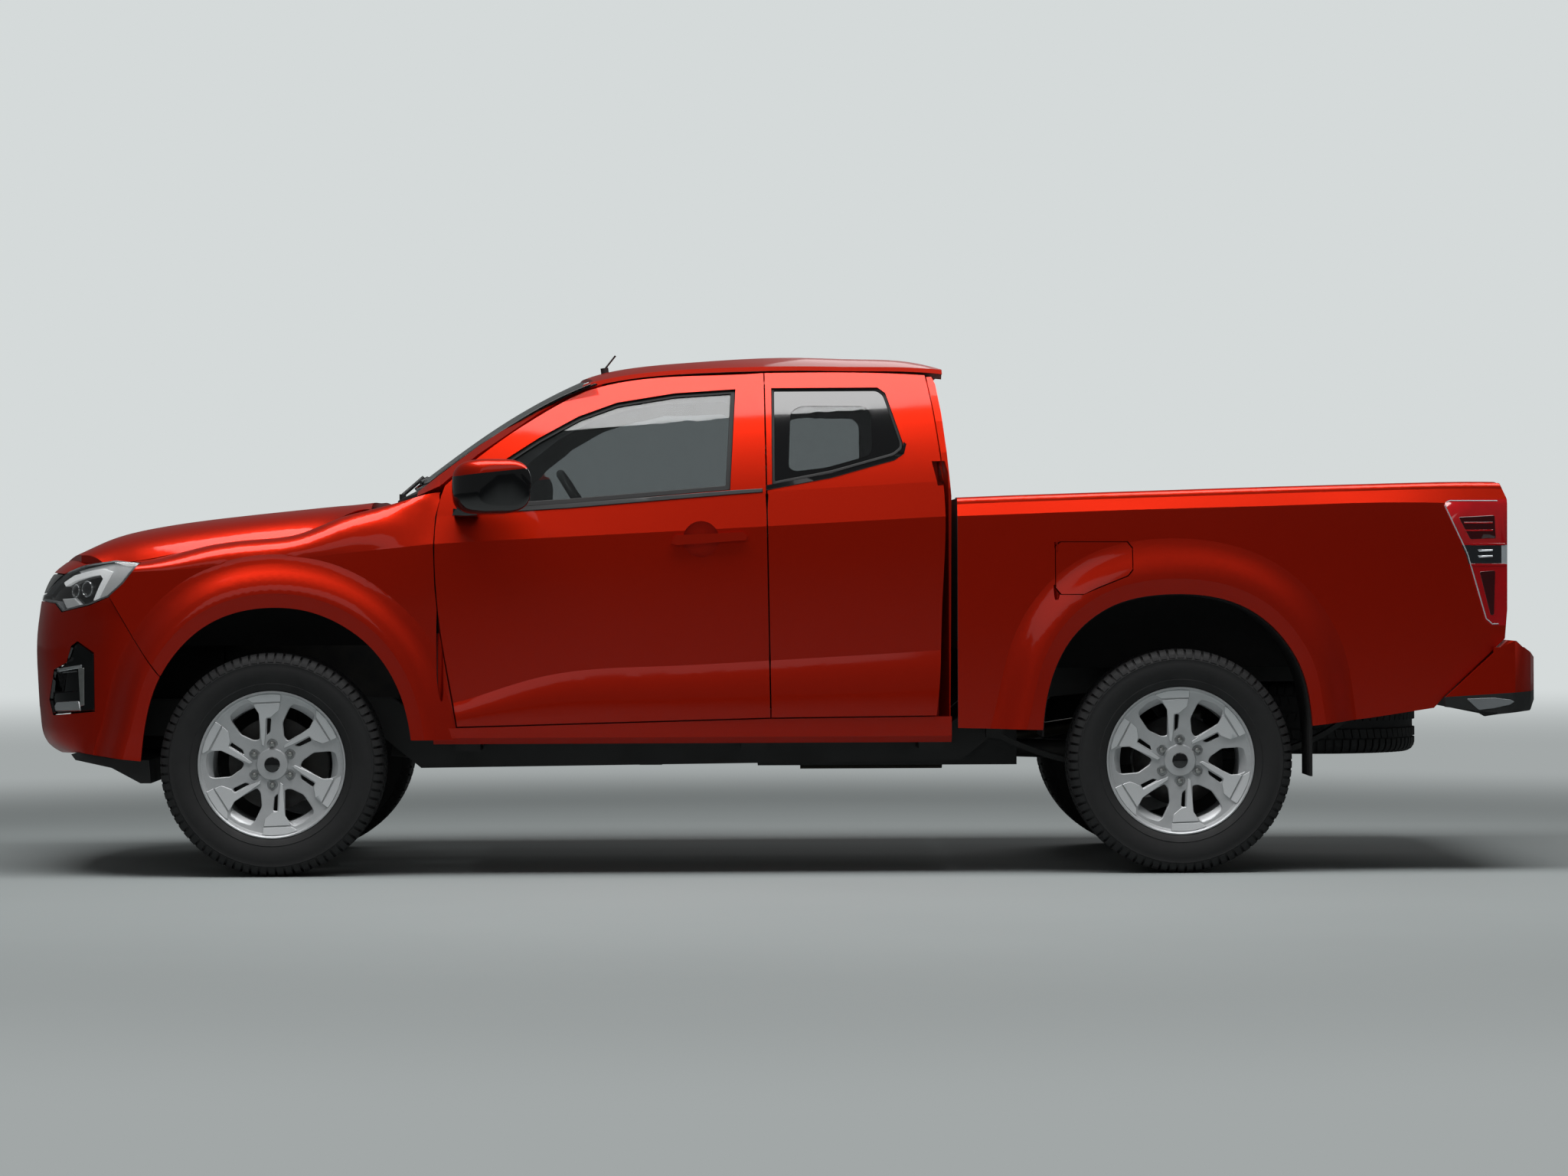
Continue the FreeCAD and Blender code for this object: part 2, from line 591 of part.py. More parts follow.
# Wheel-arch outlines as seen from the side
FRONT_ARCH = [(-2183, 380), (-2162, 545), (-2125, 667), (-2068, 761), (-1984, 845), (-1872, 903), (-1740, 925),
              (-1609, 913), (-1500, 870), (-1403, 800), (-1328, 705), (-1281, 600), (-1257, 494), (-1247, 380)]
REAR_ARCH = [(915, 380), (922, 560), (957, 700), (1010, 800), (1080, 872), (1173, 926), (1286, 953), (1400, 958),
             (1530, 942), (1655, 886), (1745, 800), (1806, 694), (1835, 566), (1847, 380)]


def scaled(pts, cx, k):
    return [(cx + (x - cx) * k, AXLE_Z + (z - AXLE_Z) * k) for x, z in pts]


def arch_tool(pts, cx, k, y0=-1000, y1=-560):
    run = scaled(pts, cx, k)
    low = 200
    return side_face([run, [run[-1], (run[-1][0], low)], [(run[-1][0], low), (run[0][0], low)],
                      [(run[0][0], low), run[0]]], y0).extrude(V(0, y1 - y0, 0))


def arch_radius(pts, cx, angle):
    """Distance from the wheel centre to the arch edge in a direction, measured from +X upwards."""
    table = sorted((math.atan2(z - AXLE_Z, x - cx), math.hypot(x - cx, z - AXLE_Z)) for x, z in pts)
    return lerp(table, angle)


# how much of the lip's rise is left along its slope
FLARE_RUN = [(0.15, 0.96), (0.35, 0.78), (0.55, 0.47), (0.75, 0.17), (0.9, 0.03), (1.0, 0.0)]
FLARE_LEAN = 9


def flare(pts, cx, body_y, steps=15):
    """Raised lip round a wheel opening: a band leaning in to the edge, then a slope that fades into the side."""
    sections = []
    for i in range(steps + 1):
        ang = math.radians(-3.0 + 186.0 * i / steps)
        r0 = arch_radius(pts, cx, max(0.0, min(math.pi, ang)))

        def at(q, y):
            return V(cx + r0 * q * math.cos(ang), -y, AXLE_Z + r0 * q * math.sin(ang))

        foot = at(FLARE_FADE, 0)
        yb = body_y(foot.x, foot.z)
        slope = [at(FLARE_FLAT, FLARE_Y)]
        for share, left in FLARE_RUN:
            q = FLARE_FLAT + (FLARE_FADE - FLARE_FLAT) * share
            here = at(q, 0)
            yh = body_y(here.x, here.z)
            slope.append(at(q, yh + left * (FLARE_Y - yh) - (0.4 if left < 0.02 else 0)))
        root = [at(FLARE_FADE, yb - 16), at(0.96, yb - 16), at(0.96, FLARE_Y - FLARE_LEAN)]
        sections.append(wire([[root[2], slope[0]], slope, [slope[-1], root[0]], [root[0], root[1]], [root[1], root[2]]]))
    return loft(sections)


# Front wings
WING_TOP_Z = [(-2400, 1062), (-2330, 1078), (-2171, 1092), (-1970, 1138), (-1793, 1161), (-1616, 1184), (-1568, 1198),
              (-1498, 1236), (-1380, 1266), (-1180, 1318)]
WING_TOP_Y = [(-2400, 690), (-2330, 735), (-2171, 772), (-1970, 792), (-1793, 800), (-1568, 803), (-1380, 800),
              (-1180, 812)]


def wing_low_y(x, z):
    """Lower wing side: the door's own profile at the shut line, plain further forward."""
    w = min(1.0, max(0.0, (x + 1500.0) / 280.0))
    zc = crease_z(x)
    plain = crease_y(x) - 22.0 * max(0.0, (zc - z) / (zc - 400.0)) ** 1.4
    return w * side_y(x, z) + (1.0 - w) * plain


def wing_top_y(x, z, t):
    """Upper wing side between the crease, t = 0, and the bonnet line, t = 1."""
    w = min(1.0, max(0.0, (x + 1420.0) / 210.0))
    yc = crease_y(x)
    yt = lerp(WING_TOP_Y, x)
    bulge = yt + (yc - yt) * math.sqrt(max(0.0, 1.0 - t ** 2.2))
    door = side_y(x, z) if z < belt_z(x) else house_y(x, z)
    door = min(door, yc)
    return w * max(door, yt) + (1.0 - w) * bulge


WING_LOW_T = (0.0, 0.25, 0.5, 0.75, 1.0)
WING_TOP_T = (0.0, 0.4, 0.75, 0.93, 1.0)


def wing_section(x):
    zc = crease_z(x)
    zt = lerp(WING_TOP_Z, x)
    low = [V(x, -wing_low_y(x, 400 + (zc - 400) * t), 400 + (zc - 400) * t) for t in WING_LOW_T]
    top = [V(x, -wing_top_y(x, zc + (zt - zc) * t, t), zc + (zt - zc) * t) for t in WING_TOP_T]
    top[0] = low[-1]
    yt = -top[-1].y
    top_in = [V(x, -yt, zt - SKIN_T), V(x, -(-top[2].y - 18), top[2].z - 18), V(x, low[-1].y + SKIN_T, zc - 6)]
    low_in = [V(x, p.y + SKIN_T, p.z) for p in reversed(low[:-1])]
    return wire([low, top, [top[-1], top_in[0]], top_in, [top_in[-1]] + low_in, [low_in[-1], low[0]]])


wing_slab = loft([wing_section(x) for x in (-2400, -2300, -2171, -1970, -1793, -1640, -1498, -1380, -1262, -1178, -1060)])
WING_SEAM = [(-2292, 1100), (-2292, 962), (-2210, 820), (-2120, 700)]
wing_side = prism_side([(x - PANEL_GAP, z) for x, z in [(-1085, 468)] + DOOR_FRONT_EDGE] + [(-1170, 1330), (-1240, 1400), (-2292, 1400)] +
                       WING_SEAM + [(-1900, 468)], -1000, -500)
front_hole = arch_tool(FRONT_ARCH, FRONT_AXLE_X, 1.0)
# behind the shut line only a thin lip stays, so that the door's edge can turn in behind it
lip_room = loft([cab_section(x, 470, 6, 700, 60) for x in (-1260, -1140)]).common(
    prism_side([(x - 19, z) for x, z in DOOR_FRONT_EDGE[2:]] + [(-1120, 1342), (-1120, 834)], -1000, -500))
front_flare = flare(FRONT_ARCH, FRONT_AXLE_X, wing_low_y)
flare_room = arch_tool(FRONT_ARCH, FRONT_AXLE_X, 1.13, -FLARE_Y + SKIN_T, -560)
wing = fuse([wing_slab, front_flare]).common(wing_side)
# room for the door's front edge as it swings about its hinge
door_swing = rod((HINGE_FRONT_X, HINGE_FRONT_Y, 600), (HINGE_FRONT_X, HINGE_FRONT_Y, 1180), 12)
wing = cut(wing, [front_hole, flare_room, lip_room, door_swing])

# Nose: one curved slab that the bumper, the lamps and the grille are cut from
NOSE_TABLE = [(400, -2520), (427, -2575), (457, -2607), (508, -2624), (593, -2631), (678, -2636), (763, NOSE_X), (839, -2638),
              (907, -2630), (985, -2612), (1052, -2572), (1115, -2490)]


def nose_ring(z, inset, thick):
    xn = lerp(NOSE_TABLE, z) + inset
    k = 1.0 if z < 1040 else 1.0 - (z - 1040) * 0.0011
    side = [(x, crease_y(x) - 22.0 * max(0.0, (1045.0 - z) / 645.0) ** 1.4 - inset) for x in (-2230, -2070)]
    half = [(xn, 0), (xn + 9, 250), (xn + 42, 480), (xn + 108, 672), (-2388 + inset * 0.8, 806 - inset * 0.5),
            (-2318 + inset * 0.3, 850 - inset)] + side

    def pts(sign, t):
        out = []
        for i, (x, y) in enumerate(half):
            f = i / (len(half) - 1.0)
            out.append(V(x + t * (1 - f) * 1.0, sign * (y * k - t * min(1.0, f * 1.25)), z))
        return out

    outer = list(reversed(pts(1, 0))) + pts(-1, 0)[1:]
    inner = pts(-1, thick)
    inner = list(reversed(inner)) + pts(1, thick)[1:]
    return wire([outer, [outer[-1], inner[0]], inner, [inner[-1], outer[0]]])


NOSE_HEIGHTS = (400, 427, 457, 508, 593, 678, 763, 839, 907, 985, 1052, 1115)
nose = loft([nose_ring(z, 0, 34) for z in NOSE_HEIGHTS])
HEADLAMP = [(-2650, 962), (-2560, 975), (-2512, 1020), (-2474, 1050), (-2380, 1078), (-2280, 1092), (-2188, 1083), (-2246, 1010),
            (-2299, 962), (-2368, 935), (-2478, 911), (-2505, 940), (-2560, 948), (-2650, 948)]
lamp_prism = prism_side(HEADLAMP, -960, -430)
headlamp = nose.common(lamp_prism)
headlamp = biggest(headlamp.cut(box(-2700, -2100, -445, 0, 800, 1200)))
GRILLE = [(-440, 985), (-470, 900), (-400, 640), (400, 640), (470, 900), (440, 985), (430, 1046), (-430, 1046)]
grille_hole = prism_front(GRILLE, -2700, -2400)
LOW_INTAKE = [(-420, 575), (-470, 450), (470, 450), (420, 575)]
intake_hole = prism_front(LOW_INTAKE, -2700, -2400)
BEZEL = [(-2415, 812), (-2352, 772), (-2350, 568), (-2515, 552), (-2531, 606), (-2509, 712), (-2458, 738), (-2440, 795)]
bezel_prism = prism_side(BEZEL, -960, -600)
bumper_low = prism_side([(-2700, 396), (-2412, 426), (-2180, 400), (-2140, 560), (-2115, 690), (-2125, 700)] +
                        [(x - 3, z) for x, z in reversed(WING_SEAM[:-1])][:2] + [(-2295, 1042), (-2700, 1042)], -1000, 1000)
bumper = fuse([nose, front_flare, mirror_y(front_flare)]).common(bumper_low)
bumper = cut(bumper, [lamp_prism, mirror_y(lamp_prism), grille_hole, intake_hole, bezel_prism, mirror_y(bezel_prism), front_hole,
                      mirror_y(front_hole), flare_room, mirror_y(flare_room), wing, mirror_y(wing)])
bumper = biggest(bumper)
wing = cut(wing, [lamp_prism, left_front_door, cowl, cab_frame, box(-2420, -2100, -1000, -400, 1200, 1500)])
wing = biggest(wing)
save("front_wings", both(wing))
save("front_bumper", bumper)
headlamp = biggest(cut(headlamp, [wing, bumper]))
save("headlamps", both(headlamp))
fog = loft([nose_ring(z, 12, 30) for z in NOSE_HEIGHTS]).common(bezel_prism)
fog = biggest(cut(fog, [bumper]))
save("fog_lamp_bezels", both(fog))

# Grille: a thick plate with rows of slots, and the lower intake with its own bars
grille_slab = loft([nose_ring(z, 14, 40) for z in NOSE_HEIGHTS])
grille = grille_slab.common(grille_hole)
for i in range(6):
    z = 672 + i * 60
    for y0, y1 in ((-395, -12), (12, 395)):
        k = 0 if z > 700 else 20
        grille = grille.cut(box(-2700, -2400, y0 + k, y1 - k, z, z + 38))
grille = biggest(cut(grille, [bumper, headlamp, mirror_y(headlamp)]))
intake = grille_slab.common(intake_hole)
for z in (470, 512):
    intake = intake.cut(box(-2700, -2400, -400, 400, z, z + 28))
valance = prism_side([(-2440, 420), (-2412, 426), (-2300, 404), (-2170, 398), (-2164, 318), (-2200, 318), (-2300, 372), (-2425, 400)],
                     -780, 780)
valance = cut(valance, [bumper])
intake = biggest(cut(intake, [bumper]))
save("grille", Part.makeCompound([grille, intake]))
save("valance", biggest(valance))

# Bonnet
def hood_section(x):
    yt = lerp(WING_TOP_Y, x) - 4
    zt = lerp(WING_TOP_Z, x)
    zh = lerp(HOOD_TOP_Z, x)
    if x < -2330:
        yt = 725
        zt = 1052 + (x + 2560) * 0.11
    d = zh - zt
    out = [V(x, -yt, zt), V(x, -(yt - 60), zt + d * 0.56), V(x, -(yt - 190), zt + d * 0.93), V(x, -300, zh), V(x, 0, zh + 5)]
    out = out + [V(x, -p.y, p.z) for p in reversed(out[:-1])]
    inn = [V(x, p.y * 0.985, p.z - HOOD_T) for p in reversed(out)]
    return wire([out, [out[-1], inn[0]], inn, [inn[-1], out[0]]])


hood = loft([hood_section(x) for x in (-2575, -2520, -2451, -2338, -2219, -2100, -1862, -1625, -1498, -1396)])
hood_plan = [(-2545 + 0.00032 * y * y, y) for y in range(-480, 481, 80)]
hood_plan = [(-2330, -724), (-2420, -640)] + hood_plan + [(-2420, 640), (-2330, 724)]
hood_trim = prism_plan([(-1396, -900), (-2330, -900)] + hood_plan + [(-2330, 900), (-1396, 900)], 900, 1400)
hood = hood.common(hood_trim)
gap_tool = loft([nose_ring(z, -6, 46) for z in NOSE_HEIGHTS]).common(prism_side([(x, z + 4) for x, z in HEADLAMP], -960, -430))
wing_gap = wing.copy()
wing_gap.translate(V(0, 4, 0))
wing_gap2 = wing.copy()
wing_gap2.translate(V(0, 2, 5))
hood = cut(hood, [gap_tool, mirror_y(gap_tool), wing_gap, mirror_y(wing_gap), wing_gap2, mirror_y(wing_gap2), wing, mirror_y(wing),
                  box(-2700, -2380, -1000, 1000, 900, 1048)])
for s in (-1, 1):
    y = s * HOOD_HINGE_Y
    hood = cut(hood, [box(HOOD_HINGE_X - 13, HOOD_HINGE_X + 20, y - 8, y + 8, HOOD_HINGE_Z - 40, HOOD_HINGE_Z + 9),
                      box(HOOD_HINGE_X - 2, HOOD_HINGE_X + 20, y - 8, y + 8, HOOD_HINGE_Z - 40, HOOD_HINGE_Z + 40),
                      rod((HOOD_HINGE_X, y - 18, HOOD_HINGE_Z), (HOOD_HINGE_X, y + 18, HOOD_HINGE_Z), 3.5 + RUN_GAP)])
hood = biggest(hood)
save("hood", hood)

# Ladder frame
RAIL_TOP = [(-2330, 600), (-1350, 600), (-1215, 500), (620, 500), (880, 720), (1480, 768), (2440, 768)]
RAIL_BOTTOM = [(-2330, 470), (-1395, 470), (-1250, 352), (660, 372), (930, 590), (1500, 645), (2440, 645)]
rail = prism_side(RAIL_TOP + list(reversed(RAIL_BOTTOM)), -RAIL_Y - RAIL_W / 2, -RAIL_Y + RAIL_W / 2)
inner = RAIL_Y - RAIL_W / 2
members = [box(-2330, -2270, -inner, inner, 490, 580), box(-1960, -1500, -inner - 68, inner + 68, 400, 470),
           rod((-900, -inner, 420), (-900, inner, 420), 34), rod((150, -inner, 430), (150, inner, 430), 34),
           rod((900, -inner, 640), (900, inner, 640), 34), rod((1560, -inner, 710), (1560, inner, 710), 34),
           rod((2390, -inner, 706), (2390, inner, 706), 40)]
frame = [rail, mirror_y(rail)] + members
for x, z in ((-1120, 352), (-120, 352), (500, 372)):
    for s in (-1, 1):
        y0, y1 = sorted((s * (RAIL_Y + RAIL_W / 2 - 4), s * 640))
        frame.append(box(x, x + 90, y0, y1, 420, 470))
        y0, y1 = sorted((s * 570, s * 640))
        frame.append(box(x, x + 90, y0, y1, 440, FLOOR_Z - FLOOR_T))
for x in (700, 1620, 2300):
    for s in (-1, 1):
        y0, y1 = sorted((s * (RAIL_Y - 30), s * (RAIL_Y + 30)))
        z0 = 560 if x == 700 else 760
        frame.append(box(x, x + 70, y0, y1, z0, BED_FLOOR_Z - BED_FLOOR_T))
frame = fuse(frame)
for x in (TOW_X - TOW_SPACING / 2, TOW_X + TOW_SPACING / 2):
    frame = frame.cut(rod((x, -600, TOW_Z), (x, 600, TOW_Z), TOW_HOLE_R))
frame = biggest(frame)
save("frame", frame)

# Load bed
FUEL_LID = [(963, 1124), (981, 1138), (1208, 1137), (1225, 1115), (1225, 1044), (1208, 1023), (1102, 981), (1059, 960), (981, 960),
            (964, 982)]
TAIL_LAMP = [(2299, 1259), (2315, 1280), (2560, 1280), (2560, 846), (2465, 844), (2442, 864), (2376, 1092)]


BED_LOW_T = (0.0, 0.33, 0.66, 1.0)


def bed_low_y(x, z):
    zc = crease_z(x)
    base = crease_y(x) if x < 1800 else crease_y(x) - 0.00002 * (x - 1800) ** 2
    return base - 22.0 * max(0.0, (zc - z) / (zc - 480.0)) ** 1.3


def bed_section(x):
    zc = crease_z(x)
    zt = lerp(BED_TOP_Z, x)
    low = [V(x, -bed_low_y(x, 480 + (zc - 480) * t), 480 + (zc - 480) * t) for t in BED_LOW_T]
    yc = -low[-1].y
    top = [low[-1], V(x, -(yc - 22), zt - 24)]
    cap = [top[-1], V(x, -(yc - 30), zt - 7), V(x, -(yc - 46), zt)]
    return wire([low, top, cap, [cap[-1], V(x, -BED_WALL_IN_Y, zt)], [V(x, -BED_WALL_IN_Y, zt), V(x, -BED_WALL_IN_Y, 800)],
                 [V(x, -BED_WALL_IN_Y, 800), V(x, -(yc - 46), 800)], [V(x, -(yc - 46), 800), V(x, -(yc - 46), 480)],
                 [V(x, -(yc - 46), 480), low[0]]])


bed_slab = loft([bed_section(x) for x in (600, 900, 1300, 1800, 2167, 2400, 2550)])
bed_side_outline = prism_side([(BED_FRONT_X, 501), (915, 494), (1847, 505), (2053, 530), (2266, 562), (2300, 600), (2512, 800), (2520, 900),
                               (2520, 1280), (2500, 1330), (2470, 1345), (BED_FRONT_X, 1345)], -1000, -500)
rear_hole = arch_tool(REAR_ARCH, REAR_AXLE_X, 1.0)
rear_flare = flare(REAR_ARCH, REAR_AXLE_X, bed_low_y)
bed_side = fuse([bed_slab, rear_flare]).common(bed_side_outline)
bed_plain = bed_side
tail_lamp_tool = prism_side(TAIL_LAMP, -1000, -772)
lid_pocket = prism_side([(x + (3 if x > 1100 else -3), z + (3 if z > 1060 else -3)) for x, z in FUEL_LID], -1000, -850)
tail_lamp = bed_side.common(tail_lamp_tool)
LID_X = 967.5
LID_Y = -909
lid_pin = rod((LID_X, LID_Y, 1110), (LID_X, LID_Y, 1148), 2)
fuel_lid = bed_side.common(prism_side(FUEL_LID, -1000, -888)).cut(rod((LID_X, LID_Y, 1106), (LID_X, LID_Y, 1150), 2 + RUN_GAP))
# room for the lid's front edge as it swings about its pin
lid_swing = rod((LID_X, LID_Y, 940), (LID_X, LID_Y, 992), 12)
lid_corner = rod((LID_X, LID_Y, 1118), (LID_X, LID_Y, 1139), 9)
bed_side = cut(bed_side, [rear_hole, tail_lamp_tool, lid_pocket, lid_swing, lid_corner])
bed_side = biggest(bed_side)
filler = rod((1095, -845, 1060), (1095, -872, 1060), 40)
gate_bore = rod((2500, -BED_WALL_IN_Y - 16, 816), (2500, -BED_WALL_IN_Y + 10, 816), GATE_PIN_R + RUN_GAP)
left_side = biggest(fuse([bed_side, filler, lid_pin]).cut(gate_bore))
right_side = mirror_y(biggest(cut(bed_plain, [rear_hole, tail_lamp_tool, gate_bore])))
save("bed_sides", Part.makeCompound([left_side, right_side]))
save("tail_lamps", both(biggest(tail_lamp)))
save("fuel_lid", biggest(fuel_lid))

bed_floor = box(BED_FRONT_X + 4, 2444, -BED_WALL_IN_Y, BED_WALL_IN_Y, BED_FLOOR_Z - BED_FLOOR_T, BED_FLOOR_Z)
for i in range(11):
    y = -600 + i * 120
    bed_floor = bed_floor.fuse(box(BED_FRONT_X + 44, 2440, y - 22, y + 22, BED_FLOOR_Z - 2, BED_FLOOR_Z + 10))
bed_head = box(BED_FRONT_X + 4, BED_FRONT_X + 44, -BED_WALL_IN_Y, BED_WALL_IN_Y, BED_FLOOR_Z - BED_FLOOR_T, 1292)
wells = []
for s in (-1, 1):
    well = arch_tool(REAR_ARCH, REAR_AXLE_X, 1.05, -BED_WALL_IN_Y, -585)
    well = well.common(box(0, 3000, -1000, 0, BED_FLOOR_Z - BED_FLOOR_T, 1100))
    if s > 0:
        well = mirror_y(well)
    wells.append(well)
bed_box = fuse([bed_floor.removeSplitter(), bed_head] + wells)
hollow = arch_tool(REAR_ARCH, REAR_AXLE_X, 1.0, -1000, -605)
bed_box = cut(bed_box, [hollow, mirror_y(hollow)])
save("bed_box", biggest(bed_box))

# Tailgate, hinged along its foot
TAILGATE_AXIS = V(2500, 0, 816)
tailgate = box(TAILGATE_X0, TAILGATE_X1, -TAILGATE_HALF_Y + 6, TAILGATE_HALF_Y - 6, TAILGATE_BOTTOM_Z, 1338)
tailgate = tailgate.makeFillet(9, tailgate.Edges)
handle_recess = box(TAILGATE_X1 - 22, TAILGATE_X1 + 10, -150, 150, 1150, 1225)
handle_bar = box(TAILGATE_X1 - 24, TAILGATE_X1 - 2, -110, 110, 1184, 1222)
gate_pins = [rod((TAILGATE_AXIS.x, s * 728, TAILGATE_AXIS.z), (TAILGATE_AXIS.x, s * (BED_WALL_IN_Y + 12), TAILGATE_AXIS.z), GATE_PIN_R)
             for s in (-1, 1)]
tailgate = fuse([tailgate.cut(handle_recess), handle_bar] + gate_pins)
save("tailgate", biggest(tailgate))

# Rear bumper and its black step
rb = [(2470, 770), (2575, 770), (2604, 750), (TAIL_X, 726), (TAIL_X, 600), (2596, 552), (2480, 540), (2452, 600)]
bumper_r = prism_side(rb, -905, 905)
plan = [(2300, -905), (2540, -905), (2600, -860), (2628, -760), (TAIL_X, -560), (TAIL_X, 560), (2628, 760), (2600, 860), (2540, 905),
        (2300, 905)]
bumper_r = bumper_r.common(prism_plan(plan, 400, 900))
ear = prism_side([(2300, 566), (2470, 545), (2600, 640), (2600, 745), (2545, 792), (2516, 795), (2300, 598)], -905, -770)
ear = ear.common(prism_plan(plan, 400, 900)).cut(box(2290, 2470, -880, -700, 400, 900))
bumper_r = fuse([bumper_r, ear, mirror_y(ear)])
bumper_r = cut(bumper_r, [bed_side, right_side, box(2400, 2480, -880, 880, 500, 790), tail_lamp, mirror_y(tail_lamp)])
arms = []
for s in (-1, 1):
    y0, y1 = sorted((s * (RAIL_Y - 34), s * (RAIL_Y + 34)))
    arms.append(box(2440, 2482, y0, y1, 600, 768))
bumper_r = fuse([biggest(bumper_r)] + arms)
step = prism_side([(2360, 606), (2536, 632), (2600, 590), (2596, 551), (2452, 530), (2400, 560)], -800, 800)
step = step.common(prism_plan([(x - 20 if x > 2500 else x, y) for x, y in plan], 400, 900))
step = cut(step, [bumper_r, box(2300, 2470, -770, 770, 500, 700)])
save("rear_bumper", biggest(bumper_r))
save("rear_step", biggest(step) if len(step.Solids) == 1 else Part.makeCompound(step.Solids))

# Wheel-arch linings with mud flaps


def lining(pts, cx, k_out, y_out, y_in, flap_x, flap_low, wall_low):
    """Shell over the tyre, a wall on its inner side above the tyre, and the mud flap."""
    shell = arch_tool(pts, cx, k_out, y_out, y_in).cut(arch_tool(pts, cx, k_out - 0.01, -950, -500))
    shell = shell.common(box(-3000, 3000, -1000, 0, 470, 1100))
    wall = arch_tool(pts, cx, k_out, y_in - 5, y_in).common(box(-3000, 3000, -1000, 0, wall_low, 1100))
    flap = box(flap_x, flap_x + 8, -905, -668, flap_low, 560)
    return fuse([shell, wall, flap])


front_lining = lining(FRONT_ARCH, FRONT_AXLE_X, 1.13, -FLARE_Y + SKIN_T, -600, -1247, 272, 790)
front_lining = cut(front_lining, [wing, bumper, cab_frame, headlamp, cowl])
rear_lining = lining(REAR_ARCH, REAR_AXLE_X, 1.0, -900, -606, 1834, 330, 700)
rear_lining = cut(rear_lining, [bed_side, bed_box])
save("arch_linings", Part.makeCompound([biggest(front_lining), mirror_y(biggest(front_lining)), biggest(rear_lining),
                                        mirror_y(biggest(rear_lining))]))

# Wheels: one solid ring of rubber on a pressed rim with six forked spokes
def revolve_y(profile, cx, cy, cz):
    """Turn a closed (radius, y) outline about the wheel axis."""
    pts = [V(cx, cy + y, cz + r) for r, y in profile]
    return Part.Face(Part.makePolygon(pts + [pts[0]])).revolve(V(cx, cy, cz), V(0, 1, 0), 360)


TYRE_PROFILE = [(TYRE_R, -98), (TYRE_R, 98), (366, 126), (310, TYRE_W / 2), (RIM_R, 104), (BEAD_R, 92), (BEAD_R, -92), (RIM_R, -104),
                (310, -TYRE_W / 2), (366, -126)]
BARREL_PROFILE = [(BEAD_R - 0.3, -92.6), (RIM_R - 0.3, -104.6), (RIM_R + 3, -111), (RIM_R - 6, -113), (BEAD_R - 14, -92), (BEAD_R - 22, -60),
                  (BEAD_R - 22, 60), (BEAD_R - 14, 92), (RIM_R - 6, 113), (RIM_R + 3, 111), (RIM_R - 0.3, 104.6), (BEAD_R - 0.3, 92.6)]
SPOKES = 6
# wide window between two spokes, and the slim slot in a spoke's fork, seen from outside about the wheel centre
RIM_WINDOW = [(96, -6), (104, 13), (144, 41), (213, 43), (221, -42), (179, -53)]
RIM_SLOT = [(84, 58), (90, 52), (144, 78), (148, 90), (140, 92), (86, 68)]


def turned(shape, cx, cy, cz, deg):
    out = shape.copy()
    out.rotate(V(cx, cy, cz), V(0, 1, 0), deg)
    return out


def make_rim(cx, cy):
    """Outer face towards -Y."""
    barrel = revolve_y(BARREL_PROFILE, cx, cy, AXLE_Z)
    dish = revolve_y([(24, -78), (24, -58), (70, -50), (160, -62), (216, -70), (216, -96), (170, -92), (96, -84), (60, -82)],
                     cx, cy, AXLE_Z)
    holes = []
    for i in range(SPOKES):
        a = i * 360.0 / SPOKES
        for outline in (RIM_WINDOW, RIM_SLOT):
            pts = [V(cx + u, 0, AXLE_Z + v) for u, v in outline]
            f = Part.Face(Part.makePolygon(pts + [pts[0]]))
            f.translate(V(0, cy - 120, 0))
            holes.append(turned(f.extrude(V(0, 100, 0)), cx, cy, AXLE_Z, a))
        holes.append(turned(rod((cx, cy - 120, AXLE_Z + BOLT_CIRCLE_R), (cx, cy - 76, AXLE_Z + BOLT_CIRCLE_R), 15), cx, cy, AXLE_Z, a))
    dish = cut(dish, holes)
    hub = revolve_y([(24, -58), (24, -30), (84, -30), (84, -58), (70, -50.2)], cx, cy, AXLE_Z)
    nuts = []
    for i in range(SPOKES):
        nuts.append(turned(rod((cx, cy - 94, AXLE_Z + BOLT_CIRCLE_R), (cx, cy - 50, AXLE_Z + BOLT_CIRCLE_R), 10), cx, cy, AXLE_Z,
                           i * 360.0 / SPOKES))
    cap = rod((cx, cy - 90, AXLE_Z), (cx, cy - 40, AXLE_Z), 25)
    return biggest(fuse([barrel, dish, hub, cap] + nuts))


def make_tyre(cx, cy):
    return revolve_y(TYRE_PROFILE, cx, cy, AXLE_Z)


tyre_f = make_tyre(FRONT_AXLE_X, -WHEEL_Y)
tyre_r = make_tyre(REAR_AXLE_X, -WHEEL_Y)
rim_f = make_rim(FRONT_AXLE_X, -WHEEL_Y)
rim_r = rim_f.copy()
rim_r.translate(V(REAR_AXLE_X - FRONT_AXLE_X, 0, 0))
# disc in front, drum behind; each turns with its wheel
disc_f = revolve_y([(30, -61), (76, -61), (76, -12), (160, -12), (160, 12), (60, 12), (60, -14), (30, -14)], FRONT_AXLE_X,
                   -WHEEL_Y + 30, AXLE_Z)
drum_r = revolve_y([(30, -71), (76, -71), (76, -42), (150, -42), (156, -34), (156, 48), (146, 48), (146, -30), (30, -30)], REAR_AXLE_X,
                   -WHEEL_Y + 40, AXLE_Z)
rim_f = biggest(fuse([rim_f, disc_f]))
rim_r = biggest(fuse([rim_r, drum_r]))
save("tyre_front_left", tyre_f)
save("tyre_front_right", mirror_y(tyre_f))
save("tyre_rear_left", tyre_r)
save("tyre_rear_right", mirror_y(tyre_r))
save("rim_front_left", rim_f)
save("rim_front_right", mirror_y(rim_f))
save("rim_rear_left", rim_r)
save("rim_rear_right", mirror_y(rim_r))

